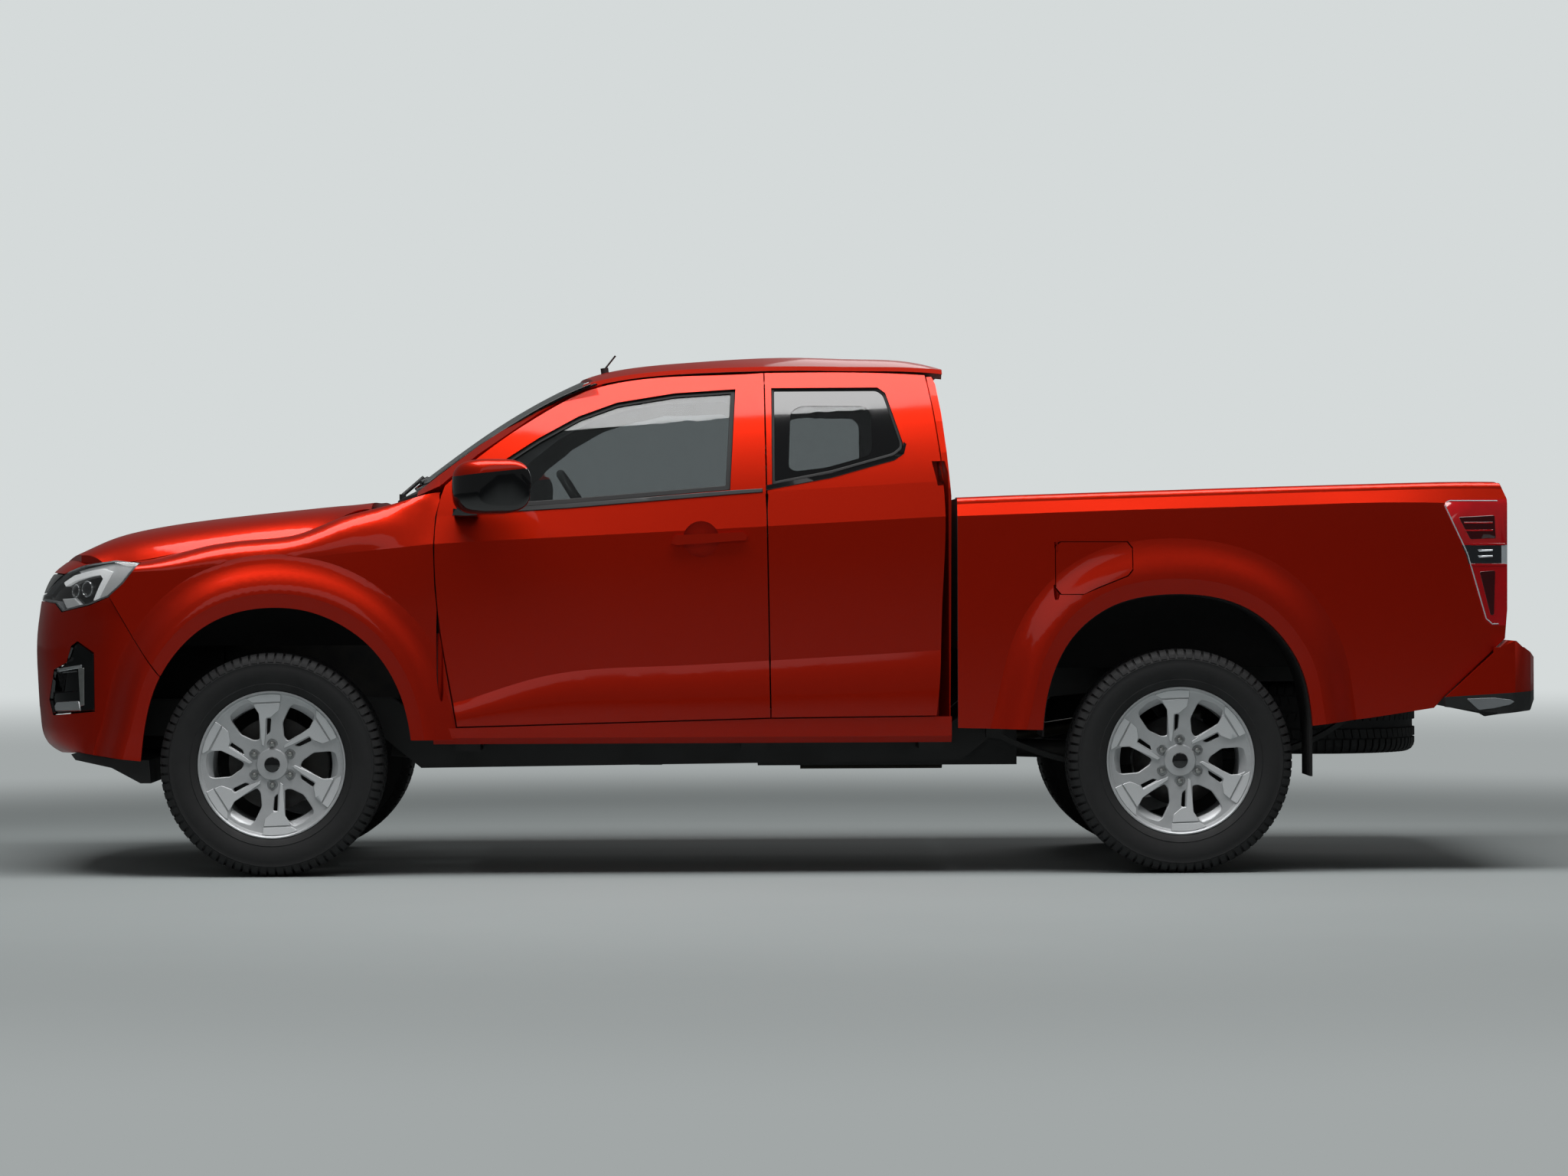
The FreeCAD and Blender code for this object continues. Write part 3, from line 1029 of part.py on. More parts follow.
# Knuckles: upright between the ball joints, hub spindle and brake caliper
ky = -KING_PIN_Y
upright = prism_front([(ky - 22, 318), (ky + 22, 318), (ky + 22, 538), (ky - 22, 538)], FRONT_AXLE_X - 34, FRONT_AXLE_X + 34)
ball_studs = rod((FRONT_AXLE_X, ky, 309 + RUN_GAP), (FRONT_AXLE_X, ky, 547 - RUN_GAP), 17)
spindle = rod((FRONT_AXLE_X, ky - 10, AXLE_Z), (FRONT_AXLE_X, -WHEEL_Y + 43, AXLE_Z), 55)
stub = rod((FRONT_AXLE_X, ky - 10, AXLE_Z), (FRONT_AXLE_X, -WHEEL_Y - 36, AXLE_Z), 23.9)
caliper = revolve_y([(96, -30), (186, -30), (186, 30), (96, 30)], FRONT_AXLE_X, -WHEEL_Y + 30, AXLE_Z)
caliper = caliper.cut(revolve_y([(80, -18), (166, -18), (166, 18), (80, 18)], FRONT_AXLE_X, -WHEEL_Y + 30, AXLE_Z))
caliper = caliper.common(prism_side([(FRONT_AXLE_X, AXLE_Z), (FRONT_AXLE_X + 260, AXLE_Z - 90), (FRONT_AXLE_X + 260, AXLE_Z + 130)], -900, -600))
bracket = box(FRONT_AXLE_X + 20, FRONT_AXLE_X + 130, ky - 32, ky + 6, AXLE_Z - 24, AXLE_Z + 40)
knuckle = fuse([upright, ball_studs, spindle, stub, biggest(caliper), bracket])
save("knuckle_left", biggest(knuckle))
save("knuckle_right", mirror_y(biggest(knuckle)))

# Front suspension: lower and upper arms, coil-over leg, steering rack
susp = []
for s in (-1, 1):
    low_arm = prism_plan([(-1885, s * 428), (-1585, s * 428), (-1712, s * 722), (-1758, s * 722)], 276, 309)
    up_arm = prism_plan([(-1830, s * 428), (-1640, s * 428), (-1716, s * 716), (-1754, s * 716)], 547, 570)
    boss_low = box(-1885, -1840, min(s * 352, s * 430), max(s * 352, s * 430), 276, 470)
    boss_low2 = box(-1630, -1585, min(s * 352, s * 430), max(s * 352, s * 430), 276, 470)
    leg = rod((-1735, s * 560, 309), (-1735, s * 500, 700), 34)
    spring = rod((-1735, s * 536, 420 + 38), (-1735, s * 502, 690), 54)
    tower = box(-1800, -1670, min(s * 352, s * 560), max(s * 352, s * 560), 688, 704)
    tower_web = box(-1800, -1784, min(s * 352, s * 428), max(s * 352, s * 428), 600, 690)
    tower_web2 = box(-1686, -1670, min(s * 352, s * 428), max(s * 352, s * 428), 600, 690)
    up_hole = rod((-1735, s * 560, 309), (-1735, s * 500, 700), 60)
    susp.append(fuse([low_arm, up_arm.cut(up_hole), boss_low, boss_low2, leg, spring, tower, tower_web, tower_web2]))
susp = [cut(s, [frame]) for s in susp]
rack = rod((-1530, -430, 372), (-1530, 430, 372), 26)
rack_feet = [box(-1556, -1504, y - 22, y + 22, 372, 400) for y in (-290, 290)]
rack = biggest(cut(fuse([rack] + rack_feet), [frame]))
save("front_suspension", Part.makeCompound([biggest(s) for s in susp] + [rack]))

# Rear axle, springs and dampers
axle = fuse([rod((REAR_AXLE_X, -WHEEL_Y + 92, AXLE_Z), (REAR_AXLE_X, WHEEL_Y - 92, AXLE_Z), 42),
             rod((REAR_AXLE_X, -WHEEL_Y - 29, AXLE_Z), (REAR_AXLE_X, WHEEL_Y + 29, AXLE_Z), 29.9),
             rod((REAR_AXLE_X, -WHEEL_Y - 36, AXLE_Z), (REAR_AXLE_X, WHEEL_Y + 36, AXLE_Z), 23.9),
             Part.makeSphere(150, V(REAR_AXLE_X, 0, AXLE_Z)).common(box(1000, 1800, -105, 105, 200, 600)),
             rod((REAR_AXLE_X - 230, 0, AXLE_Z + 5), (REAR_AXLE_X - 100, 0, AXLE_Z), 60)])
save("rear_axle", axle)
LEAF = [(770, 462), (900, 402), (1100, 350), (1390, 336), (1700, 372), (1900, 440), (2010, 512)]
rear_susp = []
for s in (-1, 1):
    y0, y1 = sorted((s * 505, s * 570))
    leaf = side_face([LEAF, [LEAF[-1], (2010, 532)], [(x, z + 20) for x, z in reversed(LEAF)], [(770, 482), LEAF[0]]], y0).extrude(V(0, y1 - y0, 0))
    stack = side_face([[(1100, 350), (1250, 318), (1390, 310), (1530, 322), (1690, 366)], [(1690, 366), (1700, 376)],
                       [(1700, 376), (1390, 338), (1100, 352)], [(1100, 352), (1100, 350)]], y0 + 2).extrude(V(0, y1 - y0 - 4, 0))
    pad = box(1330, 1450, y0 - 4, y1 + 4, 300, 345)
    hang_f = fuse([box(740, 800, y0, y1, 455, 560), box(740, 800, min(s * 428, s * 570), max(s * 428, s * 570), 530, 570)])
    shackle = fuse([box(1990, 2030, y0, y1, 515, 700), box(1990, 2030, min(s * 428, s * 570), max(s * 428, s * 570), 690, 730)])
    damper = rod((1520, s * 470, 330), (1300, s * 470, 640), 27)
    damper_foot = box(1440, 1530, min(s * 460, s * 520), max(s * 460, s * 520), 312, 340)
    damper_top = box(1285, 1325, min(s * 428, s * 480), max(s * 428, s * 480), 625, 665)
    rear_susp.append(biggest(cut(fuse([leaf, stack, pad, hang_f, shackle, damper, damper_foot, damper_top]), [axle, frame])))
save("rear_suspension", Part.makeCompound(rear_susp))

# Engine block, gearbox and shafts, tank, exhaust, spare wheel
engine = fuse([box(-1960, -1340, -230, 230, 590, 1060), box(-1470, -1340, -200, 200, 480, 700)])
save("engine", engine.cut(frame))
gearbox = fuse([Part.makeCone(168, 112, 330, V(-1340, 0, 540), V(1, 0, -0.28)), rod((-1040, 0, 452), (-300, 0, 440), 92),
                rod((-310, 0, 440), (REAR_AXLE_X - 231, 0, AXLE_Z + 5), 34), box(-480, -400, -352, 352, 356, 400), box(-480, -400, -80, 80, 380, 440)])
gearbox = cut(gearbox, [frame, cab_floor, cowl, cab_frame, engine])
save("gearbox_and_shaft", biggest(gearbox))
tank = box(-60, 860, -344, -110, 352, 500).cut(frame)
tank = biggest(tank)
save("fuel_tank", tank)
pipe = fuse([rod((-1200, 230, 420), (-1000, 250, 400), 27), rod((-1000, 250, 400), (120, 250, 392), 27), rod((100, 250, 392), (620, 250, 392), 78),
             rod((600, 250, 392), (1100, 250, 470), 27), rod((1100, 250, 470), (1720, 250, 560), 27), rod((1720, 250, 560), (2330, 620, 560), 27)])
pipe = cut(pipe, [frame, gearbox, engine])
save("exhaust", biggest(pipe))
SPARE = V(1935, 0, 515)
spare_tyre = Part.Face(Part.makePolygon([V(SPARE.x + r, 0, SPARE.z + y) for r, y in TYRE_PROFILE + TYRE_PROFILE[:1]])).revolve(SPARE, V(0, 0, 1), 360)
spare_disc = fuse([Part.makeCylinder(BEAD_R + 1, 12, V(SPARE.x, 0, SPARE.z - 60)), tube_ring(V(SPARE.x, 0, SPARE.z - 92), V(0, 0, 1), BEAD_R + 1, BEAD_R - 8, 184),
                   Part.makeCylinder(22, 300, V(SPARE.x, 0, SPARE.z - 60)), box(SPARE.x - 40, SPARE.x + 40, -inner, inner, 700, 735)])
spare = fuse([spare_tyre, spare_disc])
spare = cut(spare, [frame, pipe])
save("spare_wheel", biggest(spare))
save("radiator", box(-2300, -2250, -340, 340, 580, 1010))

# Dashboard, steering wheel, seats
dash = prism_side([(-1162, 860), (-1162, 1200), (-1130, 1236), (-900, 1246), (-840, 1226), (-826, 1150), (-880, 1090), (-900, 930), (-960, 860)],
                  -740, 740)
console = fuse([box(-900, -860, -110, 110, 665, 870), box(-900, -200, -105, 105, 665, 780), box(-420, -200, -100, 100, 780, 860)])
dash = cut(fuse([dash, console, box(-1150, -960, -110, 110, 665, 870)]), [cab_frame, cowl, windscreen, cab_floor])
n = V(math.cos(math.radians(STEER_TILT)), 0, math.sin(math.radians(STEER_TILT)))
column_base = V(STEER_CENTRE.x, STEER_CENTRE.y, STEER_CENTRE.z) - n * 300
column_tip = STEER_CENTRE - n * 62
column = rod(tuple(column_base), tuple(column_tip), 42)
dash = fuse([dash, column])
save("dashboard", biggest(dash))
rim_s = Part.makeTorus(STEER_WHEEL_R - 16, 16, STEER_CENTRE, n)
boss = Part.makeCylinder(58, 44, STEER_CENTRE - n * 48, n)
shaft = Part.makeCylinder(20, 20, STEER_CENTRE - n * 61.7, n)
side = V(0, 1, 0)
down = n.cross(side)
spokes = [rod(tuple(STEER_CENTRE - n * 26), tuple(STEER_CENTRE - side * (STEER_WHEEL_R - 16)), 11),
          rod(tuple(STEER_CENTRE - n * 26), tuple(STEER_CENTRE + side * (STEER_WHEEL_R - 16)), 11),
          rod(tuple(STEER_CENTRE - n * 26), tuple(STEER_CENTRE + V(-n.z, 0, n.x) * -(STEER_WHEEL_R - 16)), 11)]
save("steering_wheel", biggest(fuse([rim_s, boss, shaft] + spokes)))


def rounded_prism(pts, y0, y1, r):
    s = prism_side(pts, y0, y1)
    try:
        return s.makeFillet(r, s.Edges)
    except Part.OCCError:
        return s


seat_cushion = rounded_prism([(-560, 690), (-575, 790), (-560, 850), (-120, 800), (-120, 690)], -610, -130, 28)
seat_back = rounded_prism([(-200, 800), (-90, 1400), (-40, 1440), (10, 1440), (10, 1400), (-80, 760), (-180, 740)], -600, -140, 28)
head = rounded_prism([(-62, 1462), (-48, 1600), (-20, 1622), (44, 1622), (50, 1470)], -500, -240, 24)
posts = [rod((-2, y, 1400), (-2, y, 1500), 7) for y in (-420, -320)]
base = [box(-540, -160, y - 20, y + 20, FLOOR_Z, 700) for y in (-560, -180)]
seat = fuse([seat_cushion, seat_back, head] + posts + base)
save("front_seats", both(biggest(seat)))
bench = fuse([rounded_prism([(150, 660), (140, 790), (160, 815), (480, 800), (480, 660)], -640, 640, 26),
              rounded_prism([(430, 790), (478, 1260), (500, 1285), (545, 1285), (552, 1260), (535, 740), (440, 740)], -640, 640, 22),
              box(180, 460, -600, -560, FLOOR_Z, 680), box(180, 460, 560, 600, FLOOR_Z, 680)])
save("rear_bench", biggest(cut(bench, [cab_frame])))

# Wipers and aerial
blade_l = rod((-1240, -560, screen_z(-1240, -560) + 12), (-1252, 10, screen_z(-1252, 10) + 12), 6)
arm_l = rod((-1320, -300, 1318), (-1246, -280, screen_z(-1246, -280) + 14), 7)
pivot_l = rod((-1320, -300, 1270), (-1320, -300, 1322), 12)
wiper = fuse([blade_l, arm_l, pivot_l])
blade_r = rod((-1252, 60, screen_z(-1252, 60) + 12), (-1238, 600, screen_z(-1238, 600) + 12), 6)
arm_r = rod((-1318, 320, 1316), (-1246, 330, screen_z(-1246, 330) + 14), 7)
pivot_r = rod((-1318, 320, 1270), (-1318, 320, 1320), 12)
wiper2 = fuse([blade_r, arm_r, pivot_r])
save("wipers", Part.makeCompound([biggest(cut(w, [cowl, windscreen])) for w in (wiper, wiper2)]))
save("aerial", biggest(cut(fuse([rod((-596, -300, 1735), (-600, -300, 1768), 14), rod((-600, -300, 1762), (-560, -300, 1812), 3.2)]), [cab_frame])))
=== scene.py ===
import json
import math

import bmesh
import bpy
import numpy as np
from mathutils import Matrix, Vector
from mathutils.bvhtree import BVHTree
from mathutils.geometry import delaunay_2d_cdt

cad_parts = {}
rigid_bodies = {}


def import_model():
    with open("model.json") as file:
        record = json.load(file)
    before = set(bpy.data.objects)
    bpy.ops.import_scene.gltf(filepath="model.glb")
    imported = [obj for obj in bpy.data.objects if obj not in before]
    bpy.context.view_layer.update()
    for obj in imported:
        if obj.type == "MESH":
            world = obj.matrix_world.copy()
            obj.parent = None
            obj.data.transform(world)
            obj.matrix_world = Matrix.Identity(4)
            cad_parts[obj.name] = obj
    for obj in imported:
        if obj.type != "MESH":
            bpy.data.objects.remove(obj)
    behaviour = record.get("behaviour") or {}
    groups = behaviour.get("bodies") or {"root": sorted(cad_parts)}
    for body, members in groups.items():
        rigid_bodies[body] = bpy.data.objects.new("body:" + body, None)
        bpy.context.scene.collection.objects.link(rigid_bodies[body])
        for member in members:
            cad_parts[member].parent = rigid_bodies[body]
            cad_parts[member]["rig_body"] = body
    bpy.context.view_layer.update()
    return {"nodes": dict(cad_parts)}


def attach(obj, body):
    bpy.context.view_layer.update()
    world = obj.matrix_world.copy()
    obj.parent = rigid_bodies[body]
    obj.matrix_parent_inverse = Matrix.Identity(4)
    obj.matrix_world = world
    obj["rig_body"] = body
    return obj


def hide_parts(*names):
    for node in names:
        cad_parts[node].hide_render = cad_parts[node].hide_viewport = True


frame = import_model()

NODES = frame["nodes"]
MM = 0.001
TO_MM = 1000.0

# Driving places of the truck in millimetres: nose to -X, driver's side to -Y, ground at z = 0
FRONT_AXLE_X = -1735
REAR_AXLE_X = 1390
AXLE_Z = 385
WHEEL_Y = 785
STEER_CENTRE = Vector((-661, -370, 1245))
STEER_TILT = math.radians(33)
# Where rays towards the body start, and the places tried when they miss
BESIDE_Y, SIDE_Y = -1400.0, -880.0
ABOVE_Z, SCREEN_Z = 2200, 1530

# Camera fitted to the side view
CAMERA_AT = (-0.1725, -17.23, 1.07)
CAMERA_LENS = 109.1
CAMERA_SHIFT = (0.0375, -0.0156)
CAMERA_ROLL = math.radians(0.26)


# Materials

def linear(code):
    """sRGB hex colour as linear numbers, opaque."""
    out = []
    for i in (1, 3, 5):
        c = int(code[i:i + 2], 16) / 255.0
        out.append(c / 12.92 if c <= 0.04045 else ((c + 0.055) / 1.055) ** 2.4)
    return (*out, 1.0)


def add(tree, kind, settings=None, inputs=None):
    """A node with its settings, and its inputs as values or links."""
    node = tree.nodes.new(kind)
    for key, value in (settings or {}).items():
        setattr(node, key, value)
    for key, value in (inputs or {}).items():
        if isinstance(value, bpy.types.NodeSocket):
            tree.links.new(value, node.inputs[key])
        else:
            node.inputs[key].default_value = value
    return node


def maths(tree, operation, *values):
    """Result of a math node on numbers or sockets."""
    return add(tree, "ShaderNodeMath", {"operation": operation}, dict(enumerate(values))).outputs[0]


def noise(tree, place, patch_mm, detail, **inputs):
    """Cloudy noise with patches of about the given size."""
    values = {"Vector": place, "Scale": TO_MM / patch_mm, "Detail": detail, **inputs}
    return add(tree, "ShaderNodeTexNoise", None, values).outputs["Fac"]


def remapped(tree, value, low, high, to_low=0.0, to_high=1.0):
    """A value carried from one range into another."""
    limits = {"From Min": low, "From Max": high, "To Min": to_low, "To Max": to_high}
    return add(tree, "ShaderNodeMapRange", None, {"Value": value, **limits}).outputs["Result"]


def blend(tree, share, first, second):
    """Two hex colours mixed by a share."""
    values = {"Factor": share, 6: linear(first), 7: linear(second)}
    return add(tree, "ShaderNodeMix", {"data_type": "RGBA"}, values).outputs[2]


def emboss(tree, shader, height, strength, depth_mm):
    """A height pattern pressed into a shader's surface."""
    values = {"Height": height, "Strength": strength, "Distance": depth_mm * MM}
    bump = add(tree, "ShaderNodeBump", None, values)
    tree.links.new(bump.outputs["Normal"], shader.inputs["Normal"])


def found(tree, kind):
    """The one node of a kind in a finish."""
    return next(n for n in tree.nodes if n.type == kind)


def finish(name, colour, roughness, second=None, patch_mm=60.0, mottle=0.5, grain_mm=None, grain_depth_mm=0.0,
           rough_spread=0.0, **sockets):
    """A Principled finish with an uneven tone in patches and, where asked, a moulded or cast grain."""
    mat = bpy.data.materials.new(name)
    mat.use_nodes = True
    tree = mat.node_tree
    tree.nodes.clear()
    out = add(tree, "ShaderNodeOutputMaterial")
    place = add(tree, "ShaderNodeTexCoord").outputs["Object"]
    patches = noise(tree, place, patch_mm, 4.0, Roughness=0.55)
    tone = remapped(tree, patches, 0.5 - 0.5 * mottle, 0.5 + 0.5 * mottle)
    base = blend(tree, tone, colour, second or colour)
    shader = add(tree, "ShaderNodeBsdfPrincipled", None, {"Base Color": base, "Roughness": roughness})
    for key, value in sockets.items():
        shader.inputs[key.replace("_", " ")].default_value = value
    if rough_spread:
        rough = remapped(tree, patches, 0.3, 0.7, roughness - rough_spread, roughness + rough_spread)
        tree.links.new(rough, shader.inputs["Roughness"])
    if grain_mm:
        emboss(tree, shader, noise(tree, place, grain_mm, 3.0), 1.0, grain_depth_mm)
    tree.links.new(shader.outputs["BSDF"], out.inputs["Surface"])
    return mat


# Clear-coated metallic car enamel, sprayed: deep orange-red under a hard gloss, with a faint flake sparkle
PAINT = finish("metallic_enamel", "#B81E03", 0.40, "#AA1902", patch_mm=2.5, mottle=0.9, Metallic=0.8,
               Specular_IOR_Level=0.1, Coat_Weight=0.4, Coat_Roughness=0.07, Coat_IOR=1.5)
# Injection-moulded ABS, unpainted: even charcoal with a fine pebble grain that keeps highlights dull
GRAINED = finish("moulded_abs", "#141516", 0.55, "#1A1B1C", patch_mm=180, grain_mm=2.4,
                 grain_depth_mm=0.12, rough_spread=0.06)
# Moulded ABS with a polished tool face: black and mirror-like
GLOSS_BLACK = finish("polished_abs", "#060607", 0.08, "#08080A", patch_mm=300, Coat_Weight=0.6,
                     Coat_Roughness=0.02)
# Satin polycarbonate, mid grey: the frame round the headlamp, and the step pad, where the grey is a painted
# highlight on black plastic
SATIN_GREY_AND_HIGHLIGHT = finish("satin_polycarbonate", "#7C8083", 0.34, "#73777A", patch_mm=90)
# Natural extruded EPDM: matt black window and door seals
SEAL = finish("epdm_seal", "#0D0D0E", 0.72, "#121213", patch_mm=90, grain_mm=1.6, grain_depth_mm=0.05)
# Vulcanised tyre rubber: nearly black, a little dusty, with a dull sheen
TYRE = finish("tyre_rubber", "#121213", 0.74, "#1B1B1C", patch_mm=70, mottle=0.7, grain_mm=3.0,
              grain_depth_mm=0.1, rough_spread=0.08)
# Low-pressure cast aluminium under silver lacquer: bright grey, softly reflecting
SILVER = finish("lacquered_alloy", "#BFC1C3", 0.38, "#B4B6B8", patch_mm=40, Metallic=0.35,
                Coat_Weight=0.4, Coat_Roughness=0.1)
# The raised faces of the same casting, under a coarser silver: paler and flatter
FACED = finish("silver_faced_alloy", "#DADCDE", 0.42, "#CFD1D3", patch_mm=3, mottle=0.7, Metallic=0.3,
               Coat_Weight=0.3, Coat_Roughness=0.15)
# Grey cast iron, machined: brake discs with a dull grey swept face
IRON = finish("brake_iron", "#4D4E50", 0.42, "#3A3530", patch_mm=30, mottle=0.8, Metallic=0.8,
              grain_mm=2.0, grain_depth_mm=0.05)
# Sand-cast iron, bare: engine block and gear casings
CASTING = finish("sand_casting", "#3B3C3D", 0.62, "#4A4845", patch_mm=60, Metallic=0.4, grain_mm=2.5,
                 grain_depth_mm=0.25)
# Pressed steel dipped in black wax paint: frame, axle and arms, slightly uneven
FRAME_BLACK = finish("dipped_steel", "#101112", 0.48, "#191817", patch_mm=120, mottle=0.6, grain_mm=5,
                     grain_depth_mm=0.15, rough_spread=0.1)
# Aluminised steel pipe: dull silver, browned by heat
PIPE = finish("aluminised_pipe", "#6B6862", 0.45, "#57503F", patch_mm=90, mottle=0.7, Metallic=0.8)
# Zinc-plated steel: nuts, pins and stays
ZINC = finish("zinc_steel", "#A7A8A6", 0.28, "#989A98", patch_mm=20, Metallic=0.9)
# Vacuum-metallised polycarbonate: lamp reflectors and bright trim
BRIGHT = finish("metallised_polycarbonate", "#E4E6E8", 0.16, "#DDE0E2", patch_mm=50, Metallic=0.9)
# The same under a fine stipple, which spreads the light: looks white from most sides, with a faint glow
# painted in that stands for the light it reflects
STIPPLED_GLOW = finish("stippled_reflector", "#EEF0F1", 0.35, "#DFE2E4", patch_mm=4, mottle=0.8,
                  Metallic=0.15, grain_mm=3.0, grain_depth_mm=0.3, Emission_Color=linear("#E4E8EA"),
                  Emission_Strength=0.12)
# Opal polycarbonate light guide: bright milky white, with a glow painted in that stands for the light it
# reflects
OPAL_PAINTED_GLOW = finish("opal_light_guide", "#FCFDFD", 0.22, "#F6F8F9", patch_mm=80, Coat_Weight=0.5,
              Coat_Roughness=0.05, Emission_Color=linear("#F4F8FA"), Emission_Strength=0.45)


def acrylic(name, colour, roughness, second, patch_mm=60):
    """Transparent acrylic, moulded, under a hard gloss."""
    return finish(name, colour, roughness, second, patch_mm=patch_mm, Coat_Weight=1.0, Coat_Roughness=0.02)


# Ruby, clear and ribbed, deep ruby, smoked
RUBY = acrylic("ruby_acrylic", "#B5060F", 0.10, "#A5040C")
LENS = acrylic("clear_ribbed_lens", "#B4BABE", 0.12, "#A8AEB2", 30)
RUBY_DARK = acrylic("ruby_acrylic_deep", "#3E0206", 0.12, "#330105")
SMOKED = acrylic("smoked_acrylic", "#2A2C30", 0.08, "#232528")
# Textured polypropylene, soft-touch painted: dashboard and door cards
TRIM = finish("soft_touch_trim", "#1D1E20", 0.58, "#222325", patch_mm=150, grain_mm=2.2,
              grain_depth_mm=0.12)
# Needle-felted headlining, pale grey and matt
HEADLINING = finish("headlining_felt", "#8F8E8A", 0.9, "#86857F", patch_mm=8, mottle=0.8, grain_mm=1.8,
                    grain_depth_mm=0.2, Sheen_Weight=0.3)
# Tufted floor carpet, charcoal
CARPET = finish("tufted_carpet", "#161617", 0.95, "#202021", patch_mm=6, mottle=0.9, grain_mm=3.0,
                grain_depth_mm=0.8)
# Stitched hide on the steering wheel rim
HIDE = finish("stitched_hide", "#131314", 0.46, "#18181A", patch_mm=12, grain_mm=2.8,
              grain_depth_mm=0.15)
# Rubberised mud flap and arch lining sheet; also black painted shade on the bed's front where it faces the
# cab
LINING = finish("arch_felt_black", "#0B0B0C", 0.85, "#121213", patch_mm=40, grain_mm=4,
                grain_depth_mm=0.3)


def glass(name, tint):
    """Float glass, see-through, with its tint in the body colour."""
    return finish(name, tint, 0.0, patch_mm=900, Transmission_Weight=1.0, IOR=1.5)


# Toughened side glass with a grey body tint
TINTED = glass("tinted_glass", "#A2A6A7")
# Laminated windscreen, nearly clear
SCREEN_GLASS = glass("windscreen_glass", "#A9B0AE")
# Hard-coated polycarbonate lamp cover, thin and clear: the lamp's inside shows through a hard gloss
CLEAR = finish("clear_lamp_cover", "#1A1B1C", 0.0, patch_mm=400, Alpha=0.22, IOR=1.9, Coat_Weight=1.0,
               Coat_Roughness=0.0, Coat_IOR=2.2)
# Silvered mirror glass
MIRROR_GLASS = finish("silvered_glass", "#C9CED0", 0.02, patch_mm=400, Metallic=1.0)


# Scale of a wave texture at which one band is one unit wide
BAND_SCALE = 6.283


def woven(name, warp, weft, thread_mm):
    """Flat-woven polyester: two thread tones crossing, with a raised weave."""
    mat = finish(name, warp, 0.85, weft, patch_mm=25, mottle=0.9, Sheen_Weight=0.35)
    tree = mat.node_tree
    place = found(tree, "TEX_COORD").outputs["Object"]
    waves = []
    for axis in ("X", "Y", "Z"):
        values = {"Vector": place, "Scale": TO_MM / thread_mm / BAND_SCALE, "Distortion": 0.6, "Detail": 1.0}
        wave = add(tree, "ShaderNodeTexWave", {"bands_direction": axis}, values)
        waves.append(wave.outputs["Fac"])
    weave = maths(tree, "ADD", maths(tree, "MULTIPLY", waves[0], waves[1]), waves[2])
    emboss(tree, found(tree, "BSDF_PRINCIPLED"), weave, 0.7, 0.5)
    return mat


# The thread is drawn at 4 mm, coarser than the real 1 mm, so that it shows
CLOTH = woven("seat_weave", "#2A2B2E", "#1E1F21", 4.0)


# Meshes

def linked(name, data):
    """A new object in the scene."""
    obj = bpy.data.objects.new(name, data)
    bpy.context.scene.collection.objects.link(obj)
    return obj


def outward(obj):
    """Normals turned outwards on a made piece, after its doubles are merged."""
    bm = bmesh.new()
    bm.from_mesh(obj.data)
    bmesh.ops.remove_doubles(bm, verts=bm.verts, dist=0.000005)
    bmesh.ops.recalc_face_normals(bm, faces=bm.faces)
    bm.to_mesh(obj.data)
    bm.free()
    obj.data.update()
    return obj


def seat_on(obj, body, slot, *replaced):
    """A piece told its body and the CAD nodes that it stands for; the slot is not used."""
    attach(obj, body)
    if replaced:
        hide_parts(*replaced)
    return obj


class Shape:
    """Growing mesh in millimetres, each face with a material number."""

    def __init__(self):
        self.verts = []
        self.faces = []
        self.picks = []

    def take(self, verts, faces, pick=0, move=Matrix()):
        """Other vertices and faces, moved, with one material number."""
        start = len(self.verts)
        self.verts += [move @ Vector(v) for v in verts]
        self.faces += [[start + i for i in f] for f in faces]
        self.picks += [pick] * len(faces)

    def skin(self, rings, pick=0, closed=False):
        """Walls between rings with the same number of points; an open run is capped at both ends."""
        n = len(rings[0])
        starts = [len(self.verts) + k * n for k in range(len(rings))]
        self.verts += [Vector(p) for ring in rings for p in ring]
        pairs = list(zip(starts, starts[1:] + starts[:1]))
        for a, b in pairs if closed else pairs[:-1]:
            for i in range(n):
                j = (i + 1) % n
                self.faces.append([a + i, a + j, b + j, b + i])
        if not closed:
            self.faces.append([starts[0] + i for i in reversed(range(n))])
            self.faces.append([starts[-1] + i for i in range(n)])
        self.picks += [pick] * (len(self.faces) - len(self.picks))
        return self

    def for_side(self, side):
        """The shape itself for the left side, its mirror image for the right."""
        if side == "left":
            return self
        other = Shape()
        other.verts = [Vector((v[0], -v[1], v[2])) for v in self.verts]
        other.faces = [list(reversed(f)) for f in self.faces]
        other.picks = list(self.picks)
        return other

    def build(self, name, materials, angle=30):
        """The shape as an object in metres, smooth up to the given edge angle."""
        mesh = bpy.data.meshes.new(name)
        mesh.from_pydata([v * MM for v in self.verts], [], self.faces)
        for m in materials:
            mesh.materials.append(m)
        mesh.polygons.foreach_set("material_index", np.array(self.picks, dtype=np.int32))
        mesh.shade_smooth()
        mesh.set_sharp_from_angle(angle=math.radians(angle))
        mesh.update()
        return linked(name, mesh)

    def fit(self, name, materials, body, slot, *replaced, angle=30):
        """The shape built as a piece of a body, its normals turned outwards."""
        return seat_on(outward(self.build(name, materials, angle)), body, slot, *replaced)


SIDES = ("left", "right")


def area(loop):
    """Area of a loop, positive where it runs anticlockwise."""
    return 0.5 * sum(a[0] * b[1] - b[0] * a[1] for a, b in zip(loop, loop[1:] + loop[:1]))


def anticlockwise(loop):
    return loop if area(loop) > 0 else loop[::-1]


def circle(r, steps=48, u=0.0, v=0.0):
    turns = [2 * math.pi * i / steps for i in range(steps)]
    return [(u + r * math.cos(a), v + r * math.sin(a)) for a in turns]


